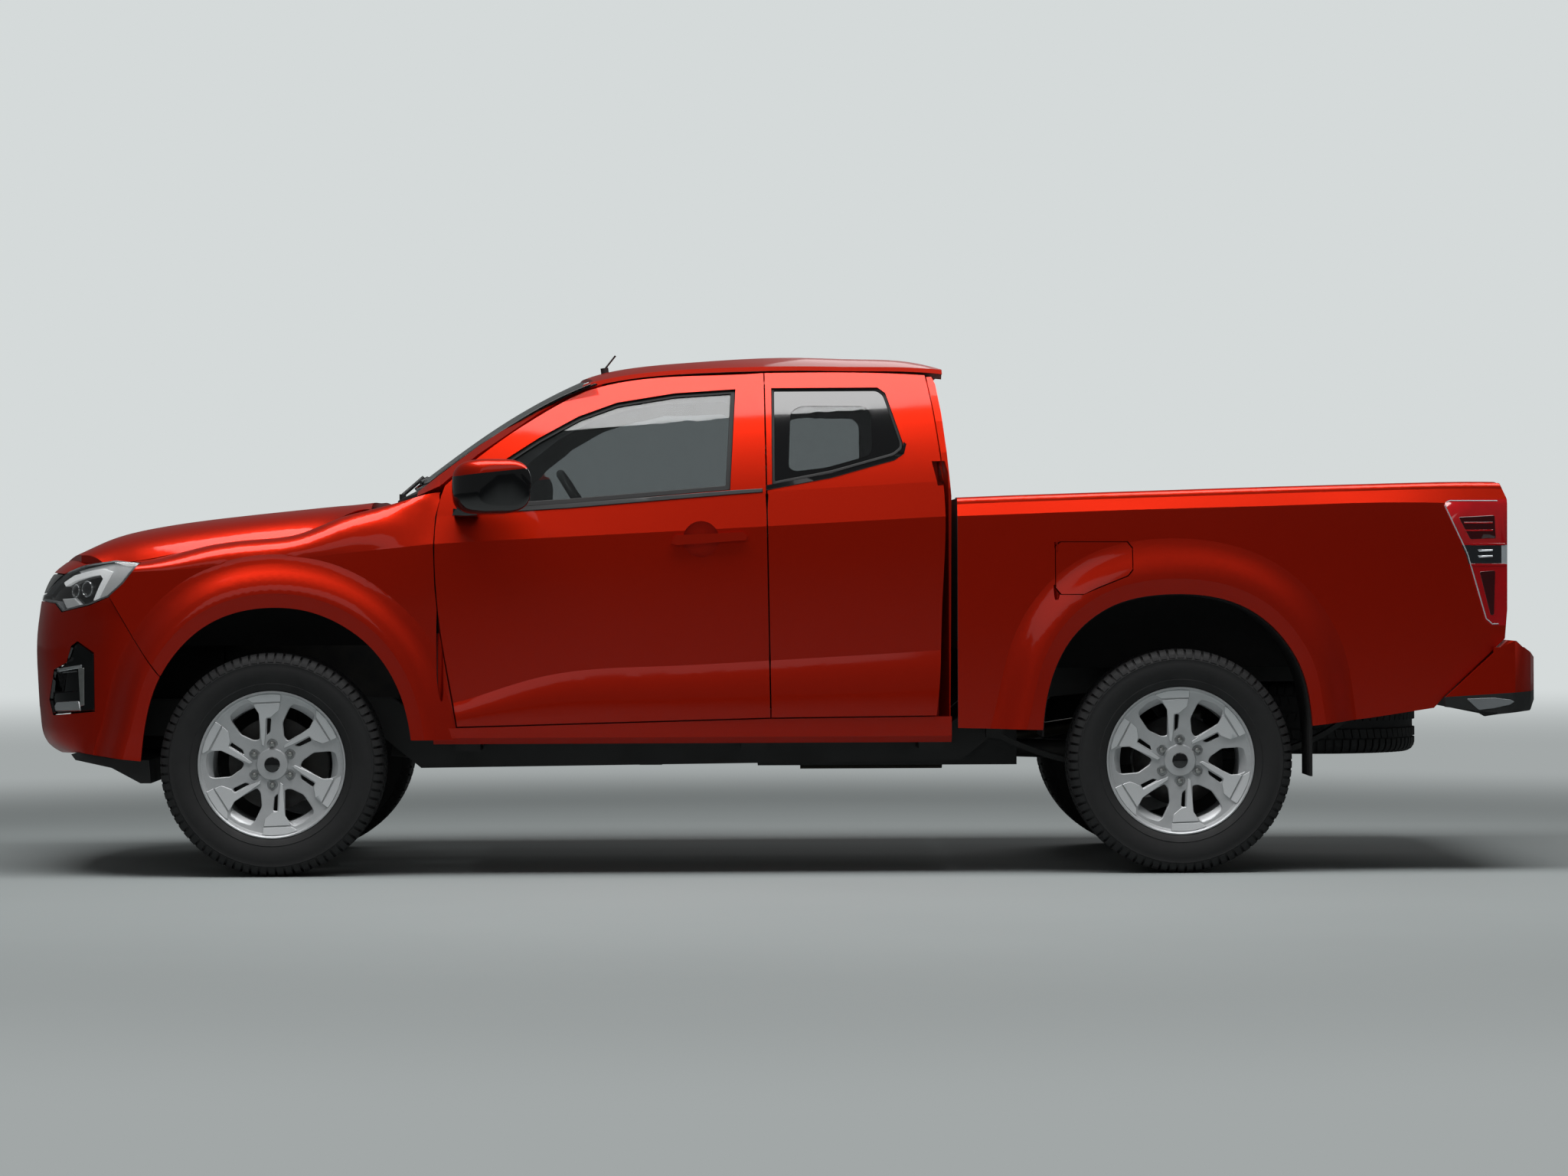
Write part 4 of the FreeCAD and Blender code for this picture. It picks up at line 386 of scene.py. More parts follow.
def divided(loop, step):
    """A loop with points no further apart than step."""
    out = []
    for a, b in zip(loop, loop[1:] + loop[:1]):
        n = max(1, int(math.ceil(math.dist(a, b) / step)))
        for i in range(n):
            t = i / n
            out.append((a[0] + (b[0] - a[0]) * t, a[1] + (b[1] - a[1]) * t))
    return out


def rounded(loop, radius, steps=4):
    """Corners of a loop turned into arcs of about the given radius."""
    out = []
    n = len(loop)
    for i in range(n):
        p = Vector(loop[i])
        a = Vector(loop[i - 1]) - p
        b = Vector(loop[(i + 1) % n]) - p
        cut = min(radius, 0.45 * a.length, 0.45 * b.length)
        pa = p + a.normalized() * cut
        pb = p + b.normalized() * cut
        for k in range(steps + 1):
            t = k / steps
            q = pa * (1 - t) ** 2 + p * 2 * t * (1 - t) + pb * t * t
            out.append((q.x, q.y))
    return out


def shifted(loop, d):
    """Loop moved sideways by d, to the left of its run."""
    out = []
    n = len(loop)
    for i in range(n):
        p = Vector(loop[i])
        a = (p - Vector(loop[i - 1])).normalized()
        b = (Vector(loop[(i + 1) % n]) - p).normalized()
        na = Vector((-a.y, a.x))
        nb = Vector((-b.y, b.x))
        m = na + nb
        m = m.normalized() if m.length > 1e-6 else na
        k = max(0.5, m.dot(nb))
        q = p + m * (d / k)
        out.append((q.x, q.y))
    return out


def inside(p, loop):
    """Whether a point lies in a loop."""
    hit = False
    for a, b in zip(loop, loop[1:] + loop[:1]):
        if (a[1] > p[1]) != (b[1] > p[1]):
            if p[0] < (b[0] - a[0]) * (p[1] - a[1]) / (b[1] - a[1]) + a[0]:
                hit = not hit
    return hit


def on_sheet(p, loops):
    """Whether a point lies in the first loop and in none of the others."""
    return inside(p, loops[0]) and not any(inside(p, hole) for hole in loops[1:])


def near_edge(p, loops, limit):
    """Whether a point of the loops is within limit both ways."""
    return any(abs(q[0] - p[0]) < limit and abs(q[1] - p[1]) < limit for loop in loops for q in loop)


def sheet_of(loops, step):
    """Triangles over the first loop less the others, with the loops' points first."""
    pts = [p for loop in loops for p in loop]
    edges = []
    start = 0
    for loop in loops:
        n = len(loop)
        edges += [(start + i, start + (i + 1) % n) for i in range(n)]
        start += n
    xs = [p[0] for p in loops[0]]
    ys = [p[1] for p in loops[0]]
    nx = int((max(xs) - min(xs)) / step)
    ny = int((max(ys) - min(ys)) / step)
    fill = []
    for i in range(1, nx + 1):
        for j in range(1, ny + 1):
            p = (min(xs) + i * step - 0.5 * step * (j % 2), min(ys) + j * step)
            if on_sheet(p, loops) and not near_edge(p, loops, 0.55 * step):
                fill.append(p)
    got = delaunay_2d_cdt([Vector(p) for p in pts + fill], edges, [], 0, 1e-6, True)
    verts, tris, origins = got[0], got[2], got[3]
    back = {old: new for new, olds in enumerate(origins) for old in olds}
    keep = []
    for t in tris:
        a, b, c = (verts[i] for i in t)
        if on_sheet((a + b + c) / 3.0, loops):
            keep.append(list(t) if (b - a).cross(c - a) > 0 else [t[0], t[2], t[1]])
    return [(v.x, v.y) for v in verts], keep, [back[i] for i in range(len(pts))]


def plate(shape, outline, place, thick, holes=(), step=15.0, edge=0.0, pick=0, edge_pick=None, round_by=0.0):
    """Closed, chamfered slab over an outline; place(u, v, depth) gives its points, depth 0 in front."""
    loops = [list(loop) for loop in (outline, *holes)]
    if round_by:
        loops = [rounded(loop, round_by) for loop in loops]
    loops = [anticlockwise(loop) if i == 0 else anticlockwise(loop)[::-1] for i, loop in enumerate(loops)]
    loops = [divided(loop, step) for loop in loops]
    front = [shifted(loop, edge) for loop in loops] if edge else loops
    verts, tris, ids = sheet_of(front, step)
    out = [place(u, v, 0.0) for u, v in verts]
    faces = [(t, pick) for t in tris]
    side_pick = pick if edge_pick is None else edge_pick
    rings = [ids]
    if edge:
        flat = [p for loop in loops for p in loop]
        rings.append([len(out) + i for i in range(len(flat))])
        out += [place(u, v, edge) for u, v in flat]
    back_verts, back_tris, back_ids = sheet_of(loops, step * 2)
    start = len(out)
    out += [place(u, v, thick) for u, v in back_verts]
    rings.append([start + i for i in back_ids])
    faces += [([start + i for i in reversed(t)], side_pick) for t in back_tris]
    begin = 0
    for loop in loops:
        n = len(loop)
        for up, down in zip(rings, rings[1:]):
            for i in range(begin, begin + n):
                j = begin + (i + 1 - begin) % n
                faces.append(([up[i], down[i], down[j], up[j]], side_pick))
        begin += n
    base = len(shape.verts)
    shape.verts += [Vector(v) for v in out]
    shape.faces += [[base + i for i in f] for f, _ in faces]
    shape.picks += [number for _, number in faces]
    return shape


def tree_of(names):
    """Ray-casting tree over some CAD nodes, in millimetres."""
    verts = []
    polys = []
    for n in names:
        mesh = NODES[n].data
        start = len(verts)
        verts += [v.co * TO_MM for v in mesh.vertices]
        polys += [[start + i for i in p.vertices] for p in mesh.polygons]
    return BVHTree.FromPolygons(verts, polys)


def on_side(node):
    """place() for plate(): points in the side view laid on the left side of a CAD node."""
    tree = tree_of([node])

    def place(u, v, depth):
        hit = tree.ray_cast(Vector((u, BESIDE_Y, v)), Vector((0, 1, 0)))[0]
        if hit is None:
            hit = tree.find_nearest(Vector((u, SIDE_Y, v)))[0]
        return Vector((u, hit.y + depth, v))
    return place


def raised(place, lift):
    """place() moved out of its surface by lift."""
    return lambda u, v, depth: place(u, v, depth - lift)


def turned(shape, profile, steps, pick=0):
    """A closed (radius, along-axis) outline turned about the Y axis."""
    turns = [2 * math.pi * k / steps for k in range(steps)]
    rings = [[(r * math.cos(a), w, r * math.sin(a)) for r, w in profile] for a in turns]
    return shape.skin(rings, pick, True)


def tube(shape, path, radius, steps=8, pick=0, closed=False, flat=1.0):
    """A round or flattened bead along a path of points."""
    pts = [Vector(p) for p in path]
    n = len(pts)
    up = Vector((0, 0, 1))
    rings = []
    for i, p in enumerate(pts):
        a = pts[i - 1] if (i > 0 or closed) else p
        b = pts[(i + 1) % n] if (i < n - 1 or closed) else p
        d = (b - a).normalized()
        ref = up if abs(d.dot(up)) < 0.95 else Vector((1, 0, 0))
        s = d.cross(ref).normalized()
        t = s.cross(d).normalized()
        r = radius[i] if isinstance(radius, (list, tuple)) else radius
        rings.append([p + s * (flat * c) + t * h for c, h in circle(r, steps)])
    return shape.skin(rings, pick, closed)


def block(shape, lo, hi, soft=3.0, pick=0):
    """A box with chamfered edges."""
    bm = bmesh.new()
    bmesh.ops.create_cube(bm, size=1.0)
    size = Vector(hi) - Vector(lo)
    mid = (Vector(hi) + Vector(lo)) * 0.5
    for v in bm.verts:
        v.co = v.co * size + mid
    bmesh.ops.bevel(bm, geom=list(bm.edges), offset=min(soft, 0.45 * min(size)), segments=2, profile=0.5,
                    affect="EDGES")
    bm.verts.index_update()
    shape.take([v.co for v in bm.verts], [[v.index for v in f.verts] for f in bm.faces], pick)
    bm.free()
    return shape


def lerp(table, x):
    """Straight lines through a table of (x, value)."""
    if x <= table[0][0]:
        return table[0][1]
    for (a, va), (b, vb) in zip(table, table[1:]):
        if x <= b:
            return va + (vb - va) * (x - a) / (b - a)
    return table[-1][1]


def eased(table, x):
    """Smooth curve through a table of (x, value)."""
    xs = [p[0] for p in table]
    vs = [p[1] for p in table]
    x = min(max(x, xs[0]), xs[-1])
    i = max(k for k in range(len(xs) - 1) if xs[k] <= x or k == 0)
    slope = []
    for k in (i, i + 1):
        a, b = max(k - 1, 0), min(k + 1, len(xs) - 1)
        slope.append((vs[b] - vs[a]) / (xs[b] - xs[a]))
    h = xs[i + 1] - xs[i]
    t = (x - xs[i]) / h
    return (vs[i] * (1 + 2 * t) * (1 - t) ** 2 + slope[0] * h * t * (1 - t) ** 2
            + vs[i + 1] * t * t * (3 - 2 * t) + slope[1] * h * t * t * (t - 1))


# Along a curve: step and start of a ray outside it in millimetres, and halvings in the search for a place
RUN_STEP = 0.5
PROBE = 90
HALVINGS = 14


class Wrap:
    """Places on a skin by the run along a plan curve and the height; depth goes in square to the curve."""

    def __init__(self, nodes, curve):
        self.tree = tree_of(nodes)
        self.runs = [0.0]
        for a, b in zip(curve, curve[1:]):
            self.runs.append(self.runs[-1] + math.dist(a, b))
        self.xs = list(zip(self.runs, [p[0] for p in curve]))
        self.ys = list(zip(self.runs, [p[1] for p in curve]))

    def at(self, run):
        """Place in plan view at a run, and the direction out of the curve."""
        run = min(max(run, RUN_STEP), self.runs[-1] - RUN_STEP)
        here = Vector((eased(self.xs, run), eased(self.ys, run), 0))
        ahead = Vector((eased(self.xs, run + RUN_STEP), eased(self.ys, run + RUN_STEP), 0))
        along = (ahead - here).normalized()
        return here, Vector((along.y, -along.x, 0))

    def skin(self, run, z):
        """The skin's point beside a place on the curve, and the direction out of it."""
        here, out = self.at(run)
        here.z = z
        hit = self.tree.ray_cast(here + out * PROBE, -out)[0]
        if hit is None:
            near = self.tree.find_nearest(here)[0]
            hit = here + out * (near - here).dot(out)
        return hit, out

    def place(self, lift=0.0):
        """place() for plate(): runs and heights laid on the skin."""
        def put(run, z, depth):
            hit, out = self.skin(run, z)
            return hit - out * (depth - lift)
        return put

    def run_of(self, x, z):
        """Run at which the skin has a given x, by halving."""
        low, high = RUN_STEP, self.runs[-1] - RUN_STEP
        for _ in range(HALVINGS):
            mid = 0.5 * (low + high)
            if self.skin(mid, z)[0].x < x:
                low = mid
            else:
                high = mid
        return 0.5 * (low + high)

    def flat(self, outline):
        """An outline given in the side view, unrolled to runs and heights."""
        return [(self.run_of(x, z), z) for x, z in outline]


# Copies of the CAD solids with smooth shading and their own finishes

def copy_of(node, name, materials):
    """A CAD node's mesh under a new name, with its own finishes."""
    mesh = NODES[node].data.copy()
    mesh.name = name
    mesh.materials.clear()
    for m in materials:
        mesh.materials.append(m)
    return mesh


def dressed(node, materials, slot, pick=None):
    """A smooth copy of a CAD node that stands for it; pick(centre, normal) gives the material number."""
    mesh = copy_of(node, "skin_" + node, materials)
    true_normals = [Vector(c.vector) for c in mesh.corner_normals]
    first = [p.loop_start for p in mesh.polygons]
    bm = bmesh.new()
    bm.from_mesh(mesh)
    was = bm.faces.layers.int.new("was")
    for i, f in enumerate(bm.faces):
        f[was] = i
    bmesh.ops.remove_doubles(bm, verts=bm.verts, dist=0.00001)
    bm.to_mesh(mesh)
    bm.free()
    picks = [pick(p.center * TO_MM, p.normal) if pick else 0 for p in mesh.polygons]
    mesh.polygons.foreach_set("material_index", np.array(picks, dtype=np.int32))
    mesh.shade_smooth()
    # the curved faces keep the exact normals of the solid, so that highlights run clean
    source = mesh.attributes["was"].data
    normals = []
    for p in mesh.polygons:
        start = first[source[p.index].value]
        normals += [true_normals[start + k] for k in range(p.loop_total)]
    mesh.normals_split_custom_set(normals)
    mesh.attributes.remove(mesh.attributes["was"])
    return seat_on(linked("skin_" + node, mesh), NODES[node]["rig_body"], slot, node)


def split_skin(node, name, planes, materials, pick, slot, angle=24):
    """A smooth copy of a CAD node, cut along some planes, so that each part takes its own finish."""
    mesh = copy_of(node, name, materials)
    bm = bmesh.new()
    bm.from_mesh(mesh)
    bmesh.ops.remove_doubles(bm, verts=bm.verts, dist=0.00002)
    for at, across in planes:
        everything = list(bm.verts) + list(bm.edges) + list(bm.faces)
        bmesh.ops.bisect_plane(bm, geom=everything, plane_co=Vector(at) * MM,
                               plane_no=Vector(across).normalized(), dist=1e-6)
    for f in bm.faces:
        f.material_index = pick(f.calc_center_median() * TO_MM, f.normal)
    bm.to_mesh(mesh)
    bm.free()
    mesh.shade_smooth()
    mesh.set_sharp_from_angle(angle=math.radians(angle))
    return seat_on(linked(name, mesh), NODES[node]["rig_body"], slot, node)


# Window openings in the side view
FRONT_WINDOW = [(-1090, 1256), (-708, 1279), (-154, 1323), (-134, 1677), (-344, 1664), (-546, 1632),
                (-681, 1583), (-817, 1508), (-925, 1438)]
REAR_WINDOW = [(-10, 1340), (197, 1380), (413, 1440), (440, 1462), (443, 1484), (386, 1660),
               (359, 1680), (-10, 1680)]
REVEAL = 4
# Middle of the cabin, and the widest places of door, arch and roof linings
CABIN_X, CABIN_Z = -250, 1150
DOOR_CARD_Y, ARCH_Y, CABIN_Y, ROOF_Y = 868, 880, 775, 640
BED_FRONT_X = 645


def outboard(c, n):
    """How far a face looks away from the centre plane."""
    return n.y if c.y > 0 else -n.y


def door_pick(window):
    """Paint outside, trim on the door card, seal in the window opening."""
    reveal = shifted(window, -REVEAL)

    def pick(c, n):
        if outboard(c, n) < -0.5 and abs(c.y) < DOOR_CARD_Y:
            return 1
        return 2 if abs(n.y) < 0.6 and inside((c.x, c.z), reveal) else 0
    return pick


def cab_pick(c, n):
    """Felt under the roof, dark trim on what faces the cabin, paint elsewhere."""
    to_middle = Vector((CABIN_X - c.x, -c.y, CABIN_Z - c.z)).normalized()
    if c.z > 1560 and n.z < -0.6 and abs(c.y) < ROOF_Y and c.x > -300:
        return 1
    return 2 if n.dot(to_middle) > 0.55 and n.x > -0.4 and abs(c.y) < CABIN_Y and c.x < 580 else 0


def behind_pick(c, n):
    """Paint outside, black lining on what faces inboard or back in the wheel arches."""
    return 1 if outboard(c, n) < -0.25 or n.x > 0.6 and abs(c.y) < ARCH_Y else 0


def shaded_toward_cab(c, n):
    """Whether a face of the load bed looks at the cab's back, across the narrow gap whose shade is painted
    black.
    """
    return n.x < -0.9 and c.x < BED_FRONT_X


def bed_side_pick(c, n):
    """Paint, with lining low on the inner side, and black painted shade on what faces the cab."""
    return 1 if c.z < 790 and outboard(c, n) < -0.25 or shaded_toward_cab(c, n) else 0


def bed_box_pick(c, n):
    """Paint inside, lining below and between the rails, and black painted shade on what faces the cab."""
    return 1 if n.z < -0.2 or shaded_toward_cab(c, n) or (c.z < 800 and abs(c.y) < 600) else 0


# Rear bumper: the line below which it is grained, and the grey pad on its corner, which paints a highlight on
# the black plastic
BUMPER_SPLIT = Vector((2430, 0, 608))
BUMPER_ACROSS = Vector((0.06, 0, -1.0))
HIGHLIGHT_PAD = [(2372, 594), (2466, 597), (2524, 590), (2538, 583), (2522, 573), (2466, 561), (2414, 555)]
# Mirror: the lower edge of the painted cap
CAP_EDGE = Vector((-1100, 0, 1372))
CAP_ACROSS = Vector((-0.10, 0, 1))
MIRROR_GLASS_Y = 925


def bumper_pick(c, n):
    """Paint above the split line, black grain below it."""
    return 1 if (c - BUMPER_SPLIT).dot(BUMPER_ACROSS) > 0 else 0


def mirror_pick(c, n):
    """Painted cap over the front and top of the housing, silvered glass in its back."""
    if n.x > 0.9 and abs(c.y) > MIRROR_GLASS_Y:
        return 2
    return 1 if (c - CAP_EDGE).dot(CAP_ACROSS) > 0 else 0


def rear_bumper():
    """Painted bumper, grained black below a slanting line, with a grey pad at each corner as a painted
    highlight.
    """
    split_skin("rear_bumper", "bumper_skin", [(BUMPER_SPLIT, BUMPER_ACROSS)], [PAINT, GRAINED], bumper_pick,
               "body_paint")
    dressed("rear_step", [GRAINED], "black_trim")
    # The grey pad is a painted highlight on the bumper's black corner.
    pad = Shape()
    plate(pad, HIGHLIGHT_PAD, raised(on_side("rear_bumper"), 1.5), 4, step=16, edge=1, round_by=6)
    for side in SIDES:
        pad.for_side(side).fit("step_pad_" + side, [SATIN_GREY_AND_HIGHLIGHT], "chassis", "black_trim")


def dress_body():
    """Every CAD node that keeps its own form, with its finishes."""
    for node in ("hood", "fuel_lid", "tailgate"):
        dressed(node, [PAINT], "body_paint")
    for node, pick in (("front_wings", behind_pick), ("front_bumper", behind_pick),
                       ("bed_sides", bed_side_pick), ("bed_box", bed_box_pick)):
        dressed(node, [PAINT, LINING], "body_paint", pick)
    rear_bumper()
    dressed("cab_frame", [PAINT, HEADLINING, TRIM], "body_paint", cab_pick)
    for side in SIDES:
        for door, window in (("front_", FRONT_WINDOW), ("rear_", REAR_WINDOW)):
            dressed("door_" + door + side, [PAINT, TRIM, SEAL], "body_paint", door_pick(window))
        for door in ("front_", "rear_"):
            dressed("glass_" + door + side, [TINTED], "window")
    for node, material, slot in (
            ("windscreen", SCREEN_GLASS, "window"), ("rear_window", TINTED, "window"),
            ("cowl", GRAINED, "black_trim"), ("valance", GRAINED, "black_trim"),
            ("grille", GLOSS_BLACK, "gloss_black"), ("arch_linings", LINING, "rubber"),
            ("frame", FRAME_BLACK, "frame_black"), ("front_suspension", FRAME_BLACK, "frame_black"),
            ("rear_suspension", FRAME_BLACK, "frame_black"), ("rear_axle", FRAME_BLACK, "frame_black"),
            ("engine", CASTING, "cast"), ("gearbox_and_shaft", CASTING, "cast"),
            ("radiator", CASTING, "cast"), ("fuel_tank", GRAINED, "black_trim"),
            ("exhaust", PIPE, "steel"), ("cab_floor", CARPET, "interior"),
            ("dashboard", TRIM, "interior"), ("knuckle_left", CASTING, "cast"),
            ("knuckle_right", CASTING, "cast"), ("aerial", GRAINED, "black_trim"),
            ("wipers", GRAINED, "black_trim")):
        dressed(node, [material], slot)
    for side in SIDES:
        split_skin("mirror_" + side, "mirror_skin_" + side, [(CAP_EDGE, CAP_ACROSS)],
                   [GLOSS_BLACK, PAINT, MIRROR_GLASS], mirror_pick, "gloss_black", 40)


# Repeats by Geometry Nodes: a template turned round an axis, realized and given its finish

def repeat_round(name, shape, count, start, material):
    """Vertices and faces of count copies of a shape, turned about the Y axis through the origin."""
    template = shape.build(name + "_template", [])
    tree = bpy.data.node_groups.new(name + "_repeat", "GeometryNodeTree")
    values = {"Template": ("NodeSocketObject", template), "Count": ("NodeSocketInt", count),
              "Start angle": ("NodeSocketFloat", start), "Finish": ("NodeSocketMaterial", material)}
    keys = {}
    for label, (kind, _) in values.items():
        keys[label] = tree.interface.new_socket(name=label, in_out="INPUT", socket_type=kind).identifier
    tree.interface.new_socket(name="Geometry", in_out="OUTPUT", socket_type="NodeSocketGeometry")
    source = add(tree, "NodeGroupInput")
    info = add(tree, "GeometryNodeObjectInfo", None, {"Object": source.outputs["Template"]})
    points = add(tree, "GeometryNodePoints", None, {"Count": source.outputs["Count"]})
    index = add(tree, "GeometryNodeInputIndex")
    share = maths(tree, "DIVIDE", index.outputs[0], source.outputs["Count"])
    angle = maths(tree, "MULTIPLY_ADD", share, 2 * math.pi, source.outputs["Start angle"])
    turn = add(tree, "ShaderNodeCombineXYZ", None, {"Y": angle})
    copies = add(tree, "GeometryNodeInstanceOnPoints", None,
                 {"Points": points.outputs[0], "Instance": info.outputs["Geometry"],
                  "Rotation": turn.outputs[0]})
    real = add(tree, "GeometryNodeRealizeInstances", None, {"Geometry": copies.outputs[0]})
    coat = add(tree, "GeometryNodeSetMaterial", None,
               {"Geometry": real.outputs[0], "Material": source.outputs["Finish"]})
    add(tree, "NodeGroupOutput", None, {"Geometry": coat.outputs[0]})
    host = linked(name, bpy.data.meshes.new(name))
    modifier = host.modifiers.new("repeat", "NODES")
    modifier.node_group = tree
    for label, (_, value) in values.items():
        modifier[keys[label]] = value
    bpy.context.view_layer.update()
    graph = bpy.context.evaluated_depsgraph_get()
    mesh = bpy.data.meshes.new_from_object(host.evaluated_get(graph))
    bpy.data.objects.remove(host)
    bpy.data.objects.remove(template)
    bpy.data.node_groups.remove(tree)
    verts = [v.co * TO_MM for v in mesh.vertices]
    faces = [list(p.vertices) for p in mesh.polygons]
    bpy.data.meshes.remove(mesh)
    return verts, faces


# Wheels, modelled about their own centre with the outer face towards -Y

SPOKES = 6
SPOKE_TURN = 60
# Outlines seen from outside about the wheel centre; the forked spoke is the one at the top
OPENING = [(96, -6), (104, 13), (144, 41), (200, 45), (217, 39), (226, -2), (222, -40), (179, -54)]
SLOT = [(-17, 160), (-3, 159), (-7, 112), (-19, 101)]
SPOKE_FACE = [(-63, 209), (30, 213), (25, 186), (-3, 163), (-20, 160), (-23, 101), (-27, 62), (-37, 68),
              (-45, 176), (-58, 196)]
RIM_PANEL = [(-66, 213), (-88, 226), (-74, 233), (-42, 241), (0, 244), (33, 242), (31, 216)]
# How far out the wheel's face stands at each radius
FACE = [(0, -86), (60, -87), (96, -90), (170, -97), (216, -102), (247, -108)]
DISH_R, CAP_R = 246, 26
# Nuts: circle of their centres, width over corners, recess, and (share of the width, place) up their height
NUT_CIRCLE, NUT_R, NUT_RECESS = 71, 11.0, 16.5
NUT_STEPS = [(1.0, -70), (1.0, -88), (0.82, -92), (0.4, -94)]
# Profiles turned about the wheel's axis, as (radius, along the axis)
RIM_BARREL = [(246, -109), (250, -112.5), (254, -112), (254.5, -106), (251, -103), (238, -100),
              (232, -92), (214, -76), (212, -50), (212, 50), (220, 78), (232, 92), (240, 102),
              (252, 104), (255, 110), (250, 113), (240, 108), (222, 92), (206, 76), (204, 50),
              (204, -50), (206, -70), (218, -84), (232, -98), (244, -104)]
HUB_FACE = [(27, -60), (88, -60), (88, -74), (60, -76), (52, -88), (27, -90)]
CENTRE_CAP = [(0.5, -60), (26.5, -60), (26.5, -90), (24, -93), (14, -94.5), (0.5, -95)]
BRAKE_DISC = [(60, -10), (76, -10), (76, 14), (160, 14), (160, 22), (157, 22), (157, 32), (160, 32),
              (160, 40), (86, 40), (60, 40)]
DISC_HAT = [(40, -62), (76, -62), (76, -8), (40, -8)]
BRAKE_DRUM = [(40, -62), (90, -60), (150, -14), (156, -6), (156, 88), (146, 88), (146, 2), (88, -8),
              (40, -8)]


def on_wheel(lift):
    """place() for plate() on the wheel's dished face."""
    return lambda u, v, depth: Vector((u, lerp(FACE, math.hypot(u, v)) + depth - lift, v))


def spun(loop, degrees):
    """A loop turned about the origin."""
    a = math.radians(degrees)
    return [(u * math.cos(a) - v * math.sin(a), u * math.sin(a) + v * math.cos(a)) for u, v in loop]


def wheel_shape(front):
    """Alloy rim with its brake: 0 lacquer, 1 silver faces, 2 iron, 3 black, 4 zinc."""
    s = Shape()
    turned(s, RIM_BARREL[::-1], 96)
    holes = [circle(CAP_R, 32)]
    for i in range(SPOKES):
        holes.append(rounded(spun(OPENING, SPOKE_TURN * i), 8, 3))
        holes.append(rounded(spun(SLOT, SPOKE_TURN * i), 4, 2))
        holes.append(circle(NUT_RECESS, 18, *spun([(NUT_CIRCLE, 0)], SPOKE_TURN * (i + 0.5))[0]))
    plate(s, circle(DISH_R, 96), on_wheel(-5.5), 24, holes, step=12, edge=2.5)
    for i in range(SPOKES):
        for outline, lift in ((SPOKE_FACE, 0), (RIM_PANEL, -0.5)):
            plate(s, spun(outline, SPOKE_TURN * i), on_wheel(lift), 7, step=13, edge=1.6, pick=1, edge_pick=0,
                  round_by=3)
    turned(s, HUB_FACE, 48)
    turned(s, CENTRE_CAP, 48, 3)
    for profile, steps in ((BRAKE_DISC, 72), (DISC_HAT, 48)) if front else ((BRAKE_DRUM, 72),):
        turned(s, profile, steps, 2)
    nut = Shape().skin([[(NUT_CIRCLE + u * k, y, v * k) for u, v in circle(NUT_R, 6)] for k, y in NUT_STEPS])
    s.take(*repeat_round("wheel_nuts", nut, SPOKES, math.radians(SPOKE_TURN / 2), ZINC), 4)
    return s


# Tyre section from bead to tread, and the blocks on it, as (radius, across)
CARCASS = [(233, 92), (238, 101), (250, 105), (256, 110), (262, 117), (276, 122), (279, 124),
           (282, 123), (300, 129), (318, 131.5), (334, 131.5), (346, 129.5), (349, 130.5), (353, 129),
           (362, 123), (370, 112), (374, 100), (376, 84), (376.5, 40)]
SHOULDER = [(384.6, 80), (384.4, 98), (381, 110), (373, 121.5), (363, 127.6), (354, 130.6), (352, 124),
            (364, 118), (372, 100), (374, 80)]
RIB = [(384.8, 0), (384.8, 30), (375, 30), (375, 0)]
TREAD_PITCHES = 78
# Rows of blocks: outline, share of the pitch that a block fills, skew, start as a share of the pitch
TREAD_ROWS = [(SHOULDER, 0.72, 0.0, 0.0), ([(r, w + 44) for r, w in RIB], 0.86, 0.0006, 0.4),
              ([(r, w - 15) for r, w in RIB], 0.86, -0.0006, 0.2),
              ([(r, w - 74) for r, w in RIB], 0.86, 0.0006, 0.7),
              ([(r, -w) for r, w in reversed(SHOULDER)], 0.72, 0.0, 0.5)]


def tread_block(outline, span, skew):
    """One tread block: its outline swept over a span of angle, skewed across the tread."""
    mid = sum(w for _, w in outline) / len(outline)
    ends = []
    for start in (-0.5 * span, 0.5 * span):
        turns = [start + skew * (w - mid) for _, w in outline]
        ends.append([(r * math.cos(a), w, r * math.sin(a)) for (r, w), a in zip(outline, turns)])
    return Shape().skin(ends)


def tyre_shape():
    """Carcass with rings on both walls, and five rows of tread blocks."""
    s = Shape()
    turned(s, CARCASS + [(r, -w) for r, w in reversed(CARCASS)], 112)
    pitch = 2 * math.pi / TREAD_PITCHES
    for outline, share, skew, start in TREAD_ROWS:
        row = tread_block(outline, pitch * share, skew)
        s.take(*repeat_round("tread_rows", row, TREAD_PITCHES, start * pitch, TYRE))
    return s


# Spare wheel, lying face down under the bed: its disc, barrel and stay
SPARE_AT = (1935, 0, 515)
SPARE_DISH = [(22, -60), (225, -60), (240, -92), (254, -104), (250, -112), (236, -104), (215, -76),
              (22, -76)]
SPARE_BARREL = [(225, -60), (215, 60), (238, 92), (254, 104), (250, 112), (232, 96), (205, 60),
                (205, -60)]
SPARE_STAY = [(3, -74), (22, -74), (22, 210), (3, 210)]


